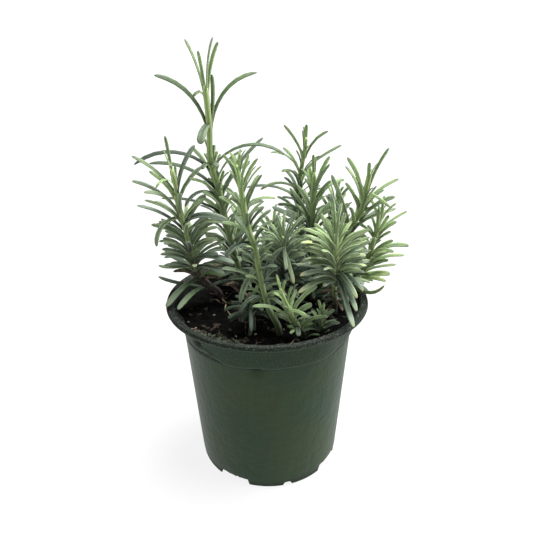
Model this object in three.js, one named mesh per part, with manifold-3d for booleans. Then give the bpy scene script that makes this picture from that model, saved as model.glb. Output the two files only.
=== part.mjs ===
// Lavender in a six-inch nursery pot, in millimetres, +Z up.
// The origin is the middle of the pot's base, on the surface it stands on.
// -Y is the side that faces the viewer, +X is the viewer's right.

import * as THREE from 'three';
import { mergeVertices } from 'three/addons/utils/BufferGeometryUtils.js';
import Module from 'manifold-3d';

const wasm = await Module();
wasm.setup();

// Driving dimensions of the pot
const POT_HEIGHT = 137;
const RIM_RADIUS = 76;
const RIM_INNER_RADIUS = 69.8;
const LIP_THICKNESS = 3.5;
const COLLAR_TOP_RADIUS = 71;
const COLLAR_FOOT_RADIUS = 69.5;
const COLLAR_FOOT_HEIGHT = 117;
const BODY_TOP_RADIUS = 64;
const BODY_TOP_HEIGHT = 113.5;
const BASE_RADIUS = 55.7;
const WALL = 1.2;
const FLOOR_RADIUS = 44;
const CHANNEL_HEIGHT = 5;
const POT_SIDES = 36;

// Openings round the pot's foot
const WIDE_NOTCH = { width: 25, height: 4.4, bearings: [-120, -33, 57, 147] };
const SLOT_NOTCH = { width: 6, height: 3, bearings: [-76, 12, 102, 192] };
const DRAIN_HOLE = { radius: 3, ring: 49.5, count: 8, firstBearing: -98 };

// Dents in the collar: bearing, height, depth, half width in degrees, half height
const DENTS = [
  { bearing: -146, height: 121, depth: 3.2, spread: 8, rise: 6 },
  { bearing: -94, height: 116, depth: 1.6, spread: 8, rise: 4 },
];

// Driving dimensions of the soil
const SOIL_LEVEL = 124;
const SOIL_GAP = 0.35;
const SOIL_SIDES = 28;
const SOIL_COLLAR_RADIUS = 66.2;
const HOLE_CLEARANCE = 1.1;
const HOLE_SIDES = 6;

// Driving dimensions of the foliage
const STEM_SIDES = 5;
const STEM_STEP = 15;
const STEM_FOOT = 112;
const LEAF_THICKNESS = 0.5;
const TURN_TO_LIGHT = 40;
const LONG_LEAF = 40;
const SHORT_LEAF = 19;
const LEAF_GAP = 0.45;
const SAMPLE_STEP = 2.5;
const LEAF_KEEP_OFF_RIM = 1;

// Small tools

const degrees = THREE.MathUtils.degToRad;
const mix = THREE.MathUtils.lerp;

function randomFrom(seed) {
  let state = seed;
  return () => {
    state = (state * 16807) % 2147483647;
    return state / 2147483647;
  };
}

function solidOf(geometry) {
  const bare = geometry.clone();
  bare.deleteAttribute('normal');
  bare.deleteAttribute('uv');
  const merged = mergeVertices(bare, 1e-4);
  const index = merged.index.array;
  const triangles = [];
  for (let i = 0; i < index.length; i += 3) {
    const [a, b, c] = [index[i], index[i + 1], index[i + 2]];
    if (a !== b && b !== c && c !== a) triangles.push(a, b, c);
  }
  return new wasm.Manifold(new wasm.Mesh({
    numProp: 3,
    vertProperties: Float32Array.from(merged.attributes.position.array),
    triVerts: Uint32Array.from(triangles),
  }));
}

function meshOf(solid, name, colour, roughness) {
  const raw = solid.getMesh();
  const geometry = new THREE.BufferGeometry();
  geometry.setAttribute('position', new THREE.BufferAttribute(Float32Array.from(raw.vertProperties), 3));
  geometry.setIndex(new THREE.BufferAttribute(Uint32Array.from(raw.triVerts), 1));
  geometry.computeVertexNormals();
  const material = new THREE.MeshStandardMaterial({ color: colour, roughness, metalness: 0 });
  const mesh = new THREE.Mesh(geometry, material);
  mesh.name = name;
  return mesh;
}

// A solid turned on the pot's axis from an outline of [radius, height]
function turned(outline, sides) {
  const points = outline.map(([radius, height]) => new THREE.Vector2(radius, height));
  const geometry = new THREE.LatheGeometry(points, sides);
  geometry.rotateX(Math.PI / 2);
  return geometry;
}

function moveVertices(geometry, move) {
  const position = geometry.attributes.position;
  const point = new THREE.Vector3();
  for (let i = 0; i < position.count; i += 1) {
    point.fromBufferAttribute(position, i);
    move(point);
    position.setXYZ(i, point.x, point.y, point.z);
  }
  return geometry;
}

// Pot: a thin moulded shell with a collar, a flat lip and a channelled foot

function bodyRadius(height) {
  return mix(BASE_RADIUS, BODY_TOP_RADIUS, height / BODY_TOP_HEIGHT);
}

function pressDents(point) {
  if (point.z < COLLAR_FOOT_HEIGHT - 2) return;
  const bearing = THREE.MathUtils.radToDeg(Math.atan2(point.y, point.x));
  let push = 0;
  for (const dent of DENTS) {
    const across = (bearing - dent.bearing) / dent.spread;
    const along = (point.z - dent.height) / dent.rise;
    push += dent.depth * Math.exp(-across * across - along * along);
  }
  const radius = Math.hypot(point.x, point.y);
  if (radius < BODY_TOP_RADIUS) return;
  point.x *= (radius - push) / radius;
  point.y *= (radius - push) / radius;
}

function potOutline() {
  const lipUnderside = POT_HEIGHT - LIP_THICKNESS;
  const channelRoof = CHANNEL_HEIGHT + WALL;
  return [
    [0, 0],
    [FLOOR_RADIUS, 0],
    [FLOOR_RADIUS + 1.6, CHANNEL_HEIGHT],
    [BASE_RADIUS - WALL, CHANNEL_HEIGHT],
    [BASE_RADIUS - WALL, 0],
    [BASE_RADIUS - 0.3, 0],
    [bodyRadius(6), 6],
    [BODY_TOP_RADIUS, BODY_TOP_HEIGHT],
    [COLLAR_FOOT_RADIUS - 0.7, COLLAR_FOOT_HEIGHT - 1.2],
    [COLLAR_FOOT_RADIUS, COLLAR_FOOT_HEIGHT],
    [mix(COLLAR_FOOT_RADIUS, COLLAR_TOP_RADIUS, 0.3), COLLAR_FOOT_HEIGHT + 5],
    [COLLAR_TOP_RADIUS, lipUnderside],
    [RIM_RADIUS - 0.5, lipUnderside],
    [RIM_RADIUS, lipUnderside + 1.2],
    [RIM_RADIUS - 0.8, POT_HEIGHT],
    [RIM_INNER_RADIUS + 1, POT_HEIGHT - 0.6],
    [RIM_INNER_RADIUS, POT_HEIGHT - 1.8],
    [mix(COLLAR_FOOT_RADIUS, COLLAR_TOP_RADIUS, 0.3) - WALL, COLLAR_FOOT_HEIGHT + 5],
    [COLLAR_FOOT_RADIUS - WALL, COLLAR_FOOT_HEIGHT + 0.4],
    [BODY_TOP_RADIUS - WALL, BODY_TOP_HEIGHT + 0.4],
    [bodyRadius(channelRoof) - WALL, channelRoof],
    [FLOOR_RADIUS + 0.6, channelRoof],
    [FLOOR_RADIUS - 1, WALL],
    [0, WALL],
  ];
}

// A block that crosses the foot's skirt at a bearing, to cut a notch
function notchCutter(notch, bearing) {
  const block = new THREE.BoxGeometry(12, notch.width, 2 * notch.height);
  block.translate(BASE_RADIUS + 0.5, 0, 0);
  block.rotateZ(degrees(bearing));
  return solidOf(block);
}

function drainCutter(bearing) {
  const drill = new THREE.CylinderGeometry(DRAIN_HOLE.radius, DRAIN_HOLE.radius, 4, 8);
  drill.rotateX(Math.PI / 2);
  drill.translate(DRAIN_HOLE.ring, 0, CHANNEL_HEIGHT + WALL / 2);
  drill.rotateZ(degrees(bearing));
  return solidOf(drill);
}

function pot() {
  const shell = solidOf(moveVertices(turned(potOutline(), POT_SIDES), pressDents));
  const cutters = [WIDE_NOTCH, SLOT_NOTCH].flatMap(
    (notch) => notch.bearings.map((bearing) => notchCutter(notch, bearing)),
  );
  for (let i = 0; i < DRAIN_HOLE.count; i += 1) {
    cutters.push(drainCutter(DRAIN_HOLE.firstBearing + (360 * i) / DRAIN_HOLE.count));
  }
  return meshOf(shell.subtract(wasm.Manifold.union(cutters)), 'pot', 0x3a4a3b, 0.45);
}

// Soil: potting mix that fills the pot to just under the rim

function soilTop(x, y) {
  const slope = 0.03 * x + 0.035 * y;
  const lumps = 0.9 * Math.sin(x / 7 + 1.3) * Math.cos(y / 6 - 0.4);
  return SOIL_LEVEL + slope + lumps;
}

function soilOutline() {
  const channelRoof = CHANNEL_HEIGHT + WALL + SOIL_GAP;
  const sideRadius = (height) => bodyRadius(height) - WALL - SOIL_GAP;
  return [
    [0, WALL + SOIL_GAP],
    [FLOOR_RADIUS - 1.6, WALL + SOIL_GAP],
    [FLOOR_RADIUS + 0.2, channelRoof],
    [sideRadius(channelRoof), channelRoof],
    [sideRadius(BODY_TOP_HEIGHT) - 0.25, BODY_TOP_HEIGHT],
    [SOIL_COLLAR_RADIUS, COLLAR_FOOT_HEIGHT + 1.5],
    [SOIL_COLLAR_RADIUS, SOIL_LEVEL],
    [54, SOIL_LEVEL],
    [40, SOIL_LEVEL],
    [27, SOIL_LEVEL],
    [14, SOIL_LEVEL],
    [0, SOIL_LEVEL],
  ];
}

function soil(shoots) {
  const shape = moveVertices(turned(soilOutline(), SOIL_SIDES), (point) => {
    const onTop = point.z > SOIL_LEVEL - 1;
    pressDents(point);
    if (onTop) point.z = soilTop(point.x, point.y);
  });
  const cutters = shoots.map((shoot) => {
    const [x, y] = shoot.path[0];
    const radius = shoot.thickness[0] / 2 + HOLE_CLEARANCE;
    const depth = 40;
    const drill = new THREE.CylinderGeometry(radius, radius, depth, HOLE_SIDES);
    drill.rotateX(Math.PI / 2);
    drill.translate(x, y, STEM_FOOT - 0.3 + depth / 2);
    return solidOf(drill);
  });
  return meshOf(solidOf(shape).subtract(wasm.Manifold.union(cutters)), 'soil', 0x1c1712, 1);
}

// The shoots. Each has its stem's path, standing straight up out of the soil, and its
// thickness at the foot and the tip. The leaves placed by hand are rows of: height on
// the stem, heading, climb in degrees, length, bow, width. The pairs are set by rule
// between two heights, with lengths and climbs given for the lowest and the highest.

const SHOOTS = [
  {
    name: 'shoot_tall',
    colour: 0x7d9a68,
    seed: 11,
    thickness: [5.8, 4.6],
    path: [[-19, 24, STEM_FOOT], [-19, 24, 130], [-22, 21, 150], [-26, 18, 172], [-31, 15, 197],
      [-34, 12, 219], [-38, 8, 238], [-37, 4, 262], [-38, 2, 288]],
    leaves: [
      [262, -165, 45, 47, 0.36, 4],
      [262, 10, 45, 47, 0.42, 4],
      [265, -110, -40, 19, 0.25, 6],
      [265, 20, 83, 30, -0.1, 4.6],
      [279, -150, 15, 10, 1.1, 3.4],
      [284, -160, 70, 34, 0.1, 3.2],
      [286, 130, 75, 24, 0.05, 2.6],
      [284, -40, 75, 34, 0.1, 3.4],
      [284, 35, 70, 32, 0.1, 3.2],
      [238, -170, 0, 52, 0.36, 3.6],
      [238, -5, 5, 52, 0.42, 3.6],
      [237, -120, -15, 11, 0.3, 4.2],
      [237, -50, -15, 9, 0.3, 3.8],
      [222, 175, 15, 50, 0.25, 3.4],
      [216, 20, 45, 49, 0.1, 3.2],
      [216, -155, -15, 29, 0.45, 3.4],
      [203, -175, 10, 44, 0.12, 2.6],
      [205, -130, 35, 22, 0.15, 5.4],
    ],
    pairs: { from: 140, to: 226, count: 8, heading: 40, length: [26, 32], climb: [5, 35], bow: 0.2, width: 3.2 },
  },
  {
    name: 'shoot_left',
    colour: 0x86a070,
    seed: 23,
    thickness: [4, 3.8],
    path: [[-38, 22, STEM_FOOT], [-38, 22, 128], [-46, 18, 138], [-53, 13, 151], [-57, 7, 176],
      [-59, 4, 191], [-62, 1, 211], [-62, -1, 223], [-64, -2, 235]],
    leaves: [
      [231, 145, 80, 26, 0.05, 2.6],
      [229, -130, 70, 21, 0.05, 2.8],
      [222, -165, 40, 36, 0.12, 3.4],
      [227, -125, -5, 18, 0.5, 2.4],
      [224, 10, 60, 30, 0.15, 5.2],
      [208, 180, 30, 36, 0.2, 3.2],
      [207, -150, 30, 28, 0.3, 3.4],
      [195, 175, 20, 35, 0.1, 3.2],
      [200, 155, 25, 22, 0.1, 3.2],
      [201, -150, -45, 29, 0.5, 4.2],
      [195, 20, 45, 25, 0.15, 5.6],
      [200, -10, -5, 34, 0.25, 5.2],
      [192, 10, 0, 29, 0.2, 4.4],
      [180, 30, 25, 18, 0.1, 3],
      [173, 10, 25, 21, 0.1, 3.4],
      [169, -15, -10, 34, 0.1, 4.6],
      [162, -25, -15, 27, 0.1, 4.2],
      [171, -165, 30, 23, 0.15, 3.6],
      [170, -167, 0, 23, 0, 3.6],
      [163, -175, -8, 27, -0.3, 3],
      [155, 180, 27, 20, 0.1, 4],
      [141, -165, 14, 37, -0.2, 3.8],
      [151, -116, -13, 44, 0.05, 5.2],
      [141, -107, 1, 50, 0.1, 4.6],
    ],
    pairs: { from: 150, to: 216, count: 9, heading: 10, length: [23, 27], climb: [12, 38], bow: 0.14, width: 3.6 },
  },
  {
    name: 'shoot_front',
    colour: 0x8aa76e,
    seed: 37,
    thickness: [4.8, 3.8],
    path: [[8, -36, STEM_FOOT], [8, -36, 128], [2, -36, 142], [-2, -35, 156], [-5, -33, 172], [-8, -30, 189],
      [-12, -27, 201], [-15, -22, 219], [-17, -18, 231], [-19, -16, 240]],
    leaves: [
      [231, 160, 55, 19, 0.1, 2.4],
      [235, -125, 60, 14, 0.05, 2.2],
      [235, 55, 75, 12, 0, 2.2],
      [231, 40, 60, 17, 0.05, 2.4],
      [227, 10, 55, 21, 0.12, 2.6],
      [224, -15, 50, 22, 0.12, 2.4],
      [214, -10, 60, 25, 0.08, 2.6],
      [218, -10, 5, 22, 0.15, 2.6],
      [208, -25, 40, 18, 0.1, 3],
      [203, -10, 45, 16, 0.1, 3],
      [194, -15, 40, 20, 0.25, 3.2],
      [208, -160, 40, 23, 0.2, 3],
      [214, 150, 40, 17, 0.1, 3.2],
      [192, -145, 55, 24, 0.12, 5.4],
      [192, -150, -20, 22, 0.35, 4.8],
      [183, -135, 40, 14, 0.25, 2.8],
      [165, -160, 25, 30, 0.2, 3.6],
      [163, -30, 60, 33, 0.15, 3.2],
      [176, -136, -53, 28, 0.2, 4],
      [155, -152, -26, 21, 0.45, 3],
      [155, -44, -11, 16, 0.2, 3],
      [157, -30, 2, 18, 0.25, 3],
    ],
    pairs: { from: 166, to: 224, count: 8, heading: 35, length: [20, 20], climb: [10, 45], bow: 0.15, width: 3 },
  },
  {
    name: 'shoot_crown',
    colour: 0x8fa574,
    seed: 41,
    thickness: [4.8, 3.6],
    path: [[51, -8, STEM_FOOT], [51, -8, 130], [50, -12, 140], [48, -21, 155], [48, -29, 172], [46, -34, 186],
      [46, -35, 198]],
    leaves: [
      [169, -74, -42, 42, 0.05, 4.6],
      [169, -66, -36, 33, 0.12, 3.8],
      [171, -62, -29, 27, 0.2, 3.6],
      [171, -28, -35, 24, 0.2, 3],
      [176, -164, 33, 31, 0.42, 3.2],
      [174, -161, 33, 30, 0.36, 3],
      [172, -159, 32, 29, 0.3, 3],
      [171, -154, 29, 25, 0.25, 2.8],
      [170, -152, 24, 23, 0.2, 2.8],
      [170, -168, 13, 29, 0.05, 2.6],
      [168, -154, 5, 29, 0.2, 3.6],
      [165, -146, -9, 33, 0.15, 3.6],
      [172, -3, 45, 27, 0.25, 3],
      [194, 110, 75, 27, 0, 2.8],
      [191, 140, 55, 22, 0.05, 3],
      [192, 30, 70, 20, 0.05, 3],
      [193, -150, 35, 21, 0.05, 3.2],
      [188, 175, 30, 25, 0.25, 3.2],
      [179, -5, 30, 25, 0.08, 3.4],
      [176, 10, 10, 21, 0.08, 3.2],
      [172, -10, 5, 20, 0.12, 3],
    ],
    pairs: { from: 160, to: 190, count: 12, heading: 48, length: [20, 24], climb: [0, 38], bow: 0.15, width: 3 },
  },
  {
    name: 'shoot_right',
    colour: 0x86a06c,
    seed: 53,
    thickness: [4.8, 3.8],
    path: [[52, 10, STEM_FOOT], [52, 10, 130], [54, 5, 158], [55, 1, 175], [60, -2, 191], [67, -2, 202],
      [70, -2, 218], [72, -2, 230]],
    leaves: [
      [222, 10, 60, 28, 0.08, 3.2],
      [225, -100, 70, 14, 0, 2.8],
      [212, 165, 65, 31, 0.18, 3.6],
      [209, -160, 60, 31, 0.2, 3.2],
      [213, 10, 25, 27, 0.05, 3],
      [206, -55, 55, 21, 0.1, 4.6],
      [201, -15, 30, 27, 0.15, 4.4],
      [218, -40, -25, 21, 0.1, 2.4],
      [198, 10, 5, 32, -0.05, 3.4],
      [193, 20, 15, 33, 0, 3],
      [193, 155, 65, 38, 0.05, 3.8],
      [190, 180, 58, 30, 0.1, 5.6],
    ],
    pairs: { from: 150, to: 212, count: 9, heading: 60, length: [22, 25], climb: [15, 50], bow: 0.14, width: 3.2 },
  },
  {
    name: 'shoot_far_right',
    colour: 0x9bb06c,
    seed: 67,
    thickness: [4.2, 3.2],
    path: [[53, 19, STEM_FOOT], [53, 19, 128], [60, 15, 139], [67, 9, 148], [75, 4, 162], [79, 2, 178],
      [81, 0, 193], [84, 0, 203]],
    leaves: [
      [190, 10, 25, 24, 0, 2.6],
      [185, 30, 45, 16, 0, 2.8],
      [179, -20, 35, 14, 0.1, 2.8],
      [173, 5, 0, 28, 0.15, 4],
      [171, -30, 5, 17, 0.25, 3.4],
      [164, 10, 0, 29, 0.1, 3],
      [159, -35, 20, 16, -0.1, 2.8],
      [157, 5, 0, 26, 0, 2.6],
      [151, -10, 0, 25, 0.05, 5],
      [147, -28, 2, 26, 0.15, 3.4],
      [143, 8, 8, 29, -0.25, 3.6],
    ],
    pairs: { from: 150, to: 197, count: 8, heading: 75, length: [19, 17], climb: [12, 55], bow: 0.14, width: 3 },
  },
  {
    name: 'shoot_middle',
    colour: 0x86a16b,
    seed: 71,
    thickness: [4.6, 3.4],
    path: [[36, 14, STEM_FOOT], [36, 14, 130], [35, 10, 150], [35, 7, 170], [34, 4, 190], [33, 0, 211],
      [34, -2, 231]],
    leaves: [
      [227, 75, 80, 13, 0, 2.8],
      [218, 25, 60, 26, 0.12, 3.2],
      [217, -20, 60, 23, 0.12, 3.2],
      [214, -155, 65, 22, 0.3, 3],
      [217, 30, 10, 28, 0.1, 3],
      [210, -20, 50, 20, 0.12, 3.8],
      [190, -160, 30, 36, 0.05, 4.6],
      [198, 165, 50, 26, 0.05, 3.2],
    ],
    pairs: { from: 148, to: 214, count: 10, heading: 20, length: [22, 24], climb: [5, 50], bow: 0.16, width: 3.2 },
  },
  {
    name: 'shoot_back_middle',
    colour: 0x7c9876,
    seed: 83,
    thickness: [4.4, 3],
    path: [[28, 41, STEM_FOOT], [28, 41, 130], [27, 38, 155], [27, 35, 180], [27, 32, 202], [26, 29, 218],
      [29, 26, 240], [30, 25, 250]],
    leaves: [
      [240, 165, 50, 24, 0.08, 2.6],
      [240, 0, 40, 22, 0.22, 2.6],
      [244, 65, 80, 15, 0, 3],
      [241, -120, 75, 15, 0, 2.6],
      [235, -125, 55, 16, 0.1, 2.8],
      [229, 10, 25, 33, 0.03, 3],
      [227, -165, 30, 27, 0.35, 2.8],
      [224, -150, 10, 17, 0.2, 2.8],
      [215, -170, -5, 30, 0.3, 2.8],
      [208, 175, 5, 41, 0.2, 2.8],
      [202, -150, 15, 17, 0.1, 3],
      [197, -175, 5, 18, 0.1, 3],
    ],
    pairs: { from: 150, to: 226, count: 10, heading: 50, length: [20, 20], climb: [5, 40], bow: 0.16, width: 3 },
  },
  {
    name: 'shoot_rosette',
    colour: 0x7b957a,
    seed: 97,
    thickness: [3.8, 2.4],
    path: [[14, 8, STEM_FOOT], [14, 8, 130], [14, 0, 150], [13, -10, 168], [12, -22, 184], [11, -31, 195]],
    leaves: [
      [190, -83, -49, 20, 0.05, 3],
      [184, -68, -49, 26, 0.1, 3],
    ],
    pairs: { from: 146, to: 192, count: 17, heading: 15, length: [24, 20], climb: [-5, 40], bow: 0.12, width: 2.4 },
  },
  {
    name: 'sprig_front',
    colour: 0x8db071,
    seed: 103,
    thickness: [3.4, 2],
    path: [[25, -41, STEM_FOOT], [25, -41, 127], [19, -47, 140], [15, -49, 150], [11, -50, 160], [9, -50, 166]],
    leaves: [
      [138, 170, 20, 15, 0.1, 3.2],
      [158, -179, 73, 19, 0, 2.6],
      [156, -4, 71, 12, 0.1, 2.2],
      [156, -153, 43, 13, 0.25, 2.4],
      [146, -172, 17, 28, 0.25, 3.2],
      [152, -31, -14, 14, 0.1, 3],
      [150, 9, 40, 24, 0.15, 3.2],
      [146, 2, 28, 15, 0.1, 4.2],
      [136, -8, 20, 21, 0.3, 3],
      [137, -91, -12, 12, 0.2, 3.8],
    ],
    pairs: { from: 134, to: 150, count: 3, heading: 60, length: [14, 15], climb: [15, 35], bow: 0.12, width: 2.6 },
  },
  {
    name: 'sprig_low',
    colour: 0x7f9d62,
    seed: 109,
    thickness: [3, 1.8],
    path: [[38, -38, STEM_FOOT], [38, -38, 126], [37, -40, 134], [38, -41, 142]],
    leaves: [],
    pairs: { from: 130, to: 140, count: 4, heading: 20, length: [14, 12], climb: [15, 55], bow: 0.15, width: 2.8 },
  },
  {
    name: 'tuft_front',
    colour: 0x5d7f62,
    seed: 113,
    thickness: [3.4, 2],
    path: [[-10, -22, STEM_FOOT], [-10, -22, 128], [-11, -26, 138], [-12, -30, 150]],
    leaves: [
      [147, -88, -33, 24, 0.1, 3.2],
      [146, -121, -10, 16, 0, 2.6],
      [140, -144, -5, 20, 0.1, 3],
    ],
    pairs: { from: 134, to: 148, count: 3, heading: 75, length: [20, 16], climb: [-30, 25], bow: 0.25, width: 3.2 },
  },
  {
    name: 'shoot_back_left',
    colour: 0x708c66,
    seed: 127,
    thickness: [3.8, 2.2],
    path: [[-22, 47, STEM_FOOT], [-22, 47, 130], [-24, 50, 145], [-23, 53, 160], [-20, 55, 174]],
    leaves: [],
    pairs: { from: 134, to: 172, count: 8, heading: 30, length: [24, 20], climb: [8, 55], bow: 0.15, width: 3.2 },
  },
  {
    name: 'shoot_back',
    colour: 0x758f63,
    seed: 131,
    thickness: [3.8, 2.2],
    path: [[2, 50, STEM_FOOT], [2, 50, 130], [3, 53, 144], [5, 57, 158], [6, 60, 170]],
    leaves: [],
    pairs: { from: 136, to: 168, count: 7, heading: 65, length: [22, 20], climb: [8, 55], bow: 0.15, width: 3.2 },
  },
  {
    name: 'shoot_back_right',
    colour: 0x7a9468,
    seed: 137,
    thickness: [3.8, 2.2],
    path: [[45, 35, STEM_FOOT], [45, 35, 130], [49, 40, 146], [54, 46, 164], [56, 50, 182], [57, 52, 194]],
    leaves: [],
    pairs: { from: 138, to: 192, count: 10, heading: 45, length: [24, 20], climb: [8, 55], bow: 0.15, width: 3.2 },
  },
];

// Stem: a curve through the path's points, found again by its height

function stemCurve(shoot) {
  const points = shoot.path.map(([x, y, z]) => new THREE.Vector3(x, y, z));
  return new THREE.CatmullRomCurve3(points, false, 'catmullrom', 0.5);
}

function placeOnStem(curve, height) {
  let low = 0;
  let high = 1;
  for (let i = 0; i < 30; i += 1) {
    const middle = (low + high) / 2;
    if (curve.getPoint(middle).z < height) low = middle;
    else high = middle;
  }
  return low;
}

function stemRadius(shoot, place) {
  return mix(shoot.thickness[0], shoot.thickness[1], place) / 2;
}

// A cylinder's rings moved onto the stem's curve and drawn in towards the tip
function stemSolid(shoot) {
  const steps = Math.round(shoot.curve.getLength() / STEM_STEP);
  const rod = new THREE.CylinderGeometry(1, 1, 1, STEM_SIDES, steps);
  moveVertices(rod, (point) => {
    const place = point.y + 0.5;
    const centre = shoot.curve.getPoint(place);
    const radius = stemRadius(shoot, place);
    point.set(centre.x + point.x * radius, centre.y - point.z * radius, centre.z);
  });
  return solidOf(rod);
}

// Leaf: a narrow keeled blade that bows between its root and its tip. One that grows to
// a side rolls its face to the front, where the light comes from.

function leafFrom(shoot, height, heading, climb, length, bow, width, sway) {
  const root = shoot.curve.getPoint(placeOnStem(shoot.curve, height));
  const roll = sway + TURN_TO_LIGHT * Math.cos(degrees(heading));
  return { shoot, root, heading, climb, length, bow, width, roll };
}

function leafCurve(leaf) {
  const turn = degrees(leaf.heading);
  const lift = degrees(leaf.climb);
  const out = new THREE.Vector3(Math.cos(turn), Math.sin(turn), 0);
  const along = out.clone().multiplyScalar(Math.cos(lift));
  along.z = Math.sin(lift);
  const over = out.clone().multiplyScalar(-Math.sin(lift));
  over.z = Math.cos(lift);
  const tip = leaf.root.clone().addScaledVector(along, leaf.length);
  const bend = leaf.root.clone().addScaledVector(along, leaf.length / 2);
  bend.addScaledVector(over, leaf.bow * leaf.length);
  return new THREE.QuadraticBezierCurve3(leaf.root, bend, tip);
}

// Half width along the leaf: a narrow stalk, widest near the tip, which is blunt
function halfWidth(leaf, u) {
  const stalk = 0.45 + 0.55 * Math.min(1, u / 0.7);
  const blunt = u > 0.84 ? 1 - 0.45 * ((u - 0.84) / 0.16) : 1;
  return (leaf.width / 2) * stalk * blunt;
}

function leafSolid(leaf) {
  const bends = leaf.length > LONG_LEAF ? 4 : leaf.length > SHORT_LEAF ? 3 : 2;
  const blade = new THREE.ConeGeometry(1, 1, 3, bends);
  const curve = leafCurve(leaf);
  const turn = degrees(leaf.heading);
  const level = new THREE.Vector3(-Math.sin(turn), Math.cos(turn), 0);
  moveVertices(blade, (point) => {
    const share = point.y + 0.5;
    const place = share * (1 + 1.2 * share - 1.2 * share * share);
    const taper = Math.max(1 - share, 1e-9);
    const tipEnd = share > 0.999;
    const centre = curve.getPoint(place);
    const tangent = curve.getTangent(place);
    const side = level.clone().applyAxisAngle(tangent, degrees(leaf.roll));
    const upper = tangent.clone().cross(side);
    const half = tipEnd ? 0 : halfWidth(leaf, place) / Math.sin(Math.PI / 3);
    const thick = tipEnd ? 0 : LEAF_THICKNESS * leaf.width * (1 - 0.4 * place);
    const across = (point.x / taper) * half;
    const down = (point.z / taper) * thick * (2 / 3);
    point.copy(centre).addScaledVector(side, across).addScaledVector(upper, -down);
  });
  return solidOf(blade);
}

// Clearance: leaves and stems are tested as rows of small balls along their middles

const balls = [];

function stemBalls(shoot) {
  const count = Math.ceil(shoot.curve.getLength() / SAMPLE_STEP);
  for (let i = 0; i <= count; i += 1) {
    const centre = shoot.curve.getPoint(i / count);
    balls.push({ shoot, centre, radius: stemRadius(shoot, i / count), stem: true });
  }
}

function leafBalls(leaf) {
  const curve = leafCurve(leaf);
  const count = Math.ceil(leaf.length / SAMPLE_STEP);
  const row = [];
  for (let i = 1; i <= count; i += 1) {
    const u = i / count;
    row.push({ shoot: leaf.shoot, centre: curve.getPoint(u), radius: halfWidth(leaf, u), u });
  }
  return row;
}

function meetsPot(ball) {
  const { x, y, z } = ball.centre;
  const reach = ball.radius + LEAF_KEEP_OFF_RIM;
  const outwards = Math.hypot(x, y);
  if (z < POT_HEIGHT + reach && outwards > SOIL_COLLAR_RADIUS - reach) return true;
  return z < soilTop(x, y) + reach;
}

function meetsOther(ball, other) {
  if (ball.shoot === other.shoot) {
    if (other.stem || ball.u < 0.4 || other.u < 0.4) return false;
    return ball.centre.distanceTo(other.centre) < 0.55 * (ball.radius + other.radius);
  }
  return ball.centre.distanceTo(other.centre) < ball.radius + other.radius + LEAF_GAP;
}

// Ways to shift a leaf that meets something: turn, climb, share of its length
const SHIFTS = [
  [0, 0, 1], [10, 0, 1], [-10, 0, 1], [0, 12, 1], [0, -12, 1], [20, 8, 1], [-20, 8, 1],
  [18, -10, 0.9], [-18, -10, 0.9], [0, 0, 0.8], [28, 14, 0.75], [-28, 14, 0.75], [0, 0, 0.6],
];

function fitLeaf(leaf) {
  for (const [turn, lift, share] of SHIFTS) {
    const shifted = {
      ...leaf,
      heading: leaf.heading + turn,
      climb: leaf.climb + lift,
      length: leaf.length * share,
    };
    const row = leafBalls(shifted);
    const clear = row.every((ball) => !meetsPot(ball) && !balls.some((other) => meetsOther(ball, other)));
    if (clear) {
      balls.push(...row);
      leaf.shoot.fitted.push(shifted);
      return;
    }
  }
}

function placeByHand(shoot) {
  for (const [height, heading, climb, length, bow, width] of shoot.leaves) {
    const sway = 30 * (shoot.random() - 0.5);
    fitLeaf(leafFrom(shoot, height, heading, climb, length, bow, width, sway));
  }
}

// Pairs of leaves up the stem, each pair a quarter turn from the one below
function placePairs(shoot) {
  const { from, to, count, heading, length, climb, bow, width } = shoot.pairs;
  for (let i = 0; i < count; i += 1) {
    const rise = i / (count - 1);
    for (const side of [0, 180]) {
      const turn = heading + 90 * i + side + 30 * (shoot.random() - 0.5);
      const lift = mix(climb[0], climb[1], rise) + 16 * (shoot.random() - 0.5);
      const long = mix(length[0], length[1], rise) * (0.85 + 0.3 * shoot.random());
      const wide = width * (0.85 + 0.3 * shoot.random());
      const sway = 40 * (shoot.random() - 0.5);
      fitLeaf(leafFrom(shoot, mix(from, to, rise), turn, lift, long, bow, wide, sway));
    }
  }
}

for (const shoot of SHOOTS) {
  shoot.curve = stemCurve(shoot);
  shoot.random = randomFrom(shoot.seed);
  shoot.fitted = [];
  stemBalls(shoot);
}
SHOOTS.forEach(placeByHand);
SHOOTS.forEach(placePairs);

function shootMesh(shoot) {
  const solids = [stemSolid(shoot), ...shoot.fitted.map(leafSolid)];
  return meshOf(wasm.Manifold.union(solids), shoot.name, shoot.colour, 0.8);
}

const lavender = new THREE.Group();
lavender.add(pot(), soil(SHOOTS), ...SHOOTS.map(shootMesh));

export default lavender;
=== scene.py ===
import math
import bmesh
import bpy
import numpy as np
from mathutils import Matrix, Vector, noise


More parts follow.
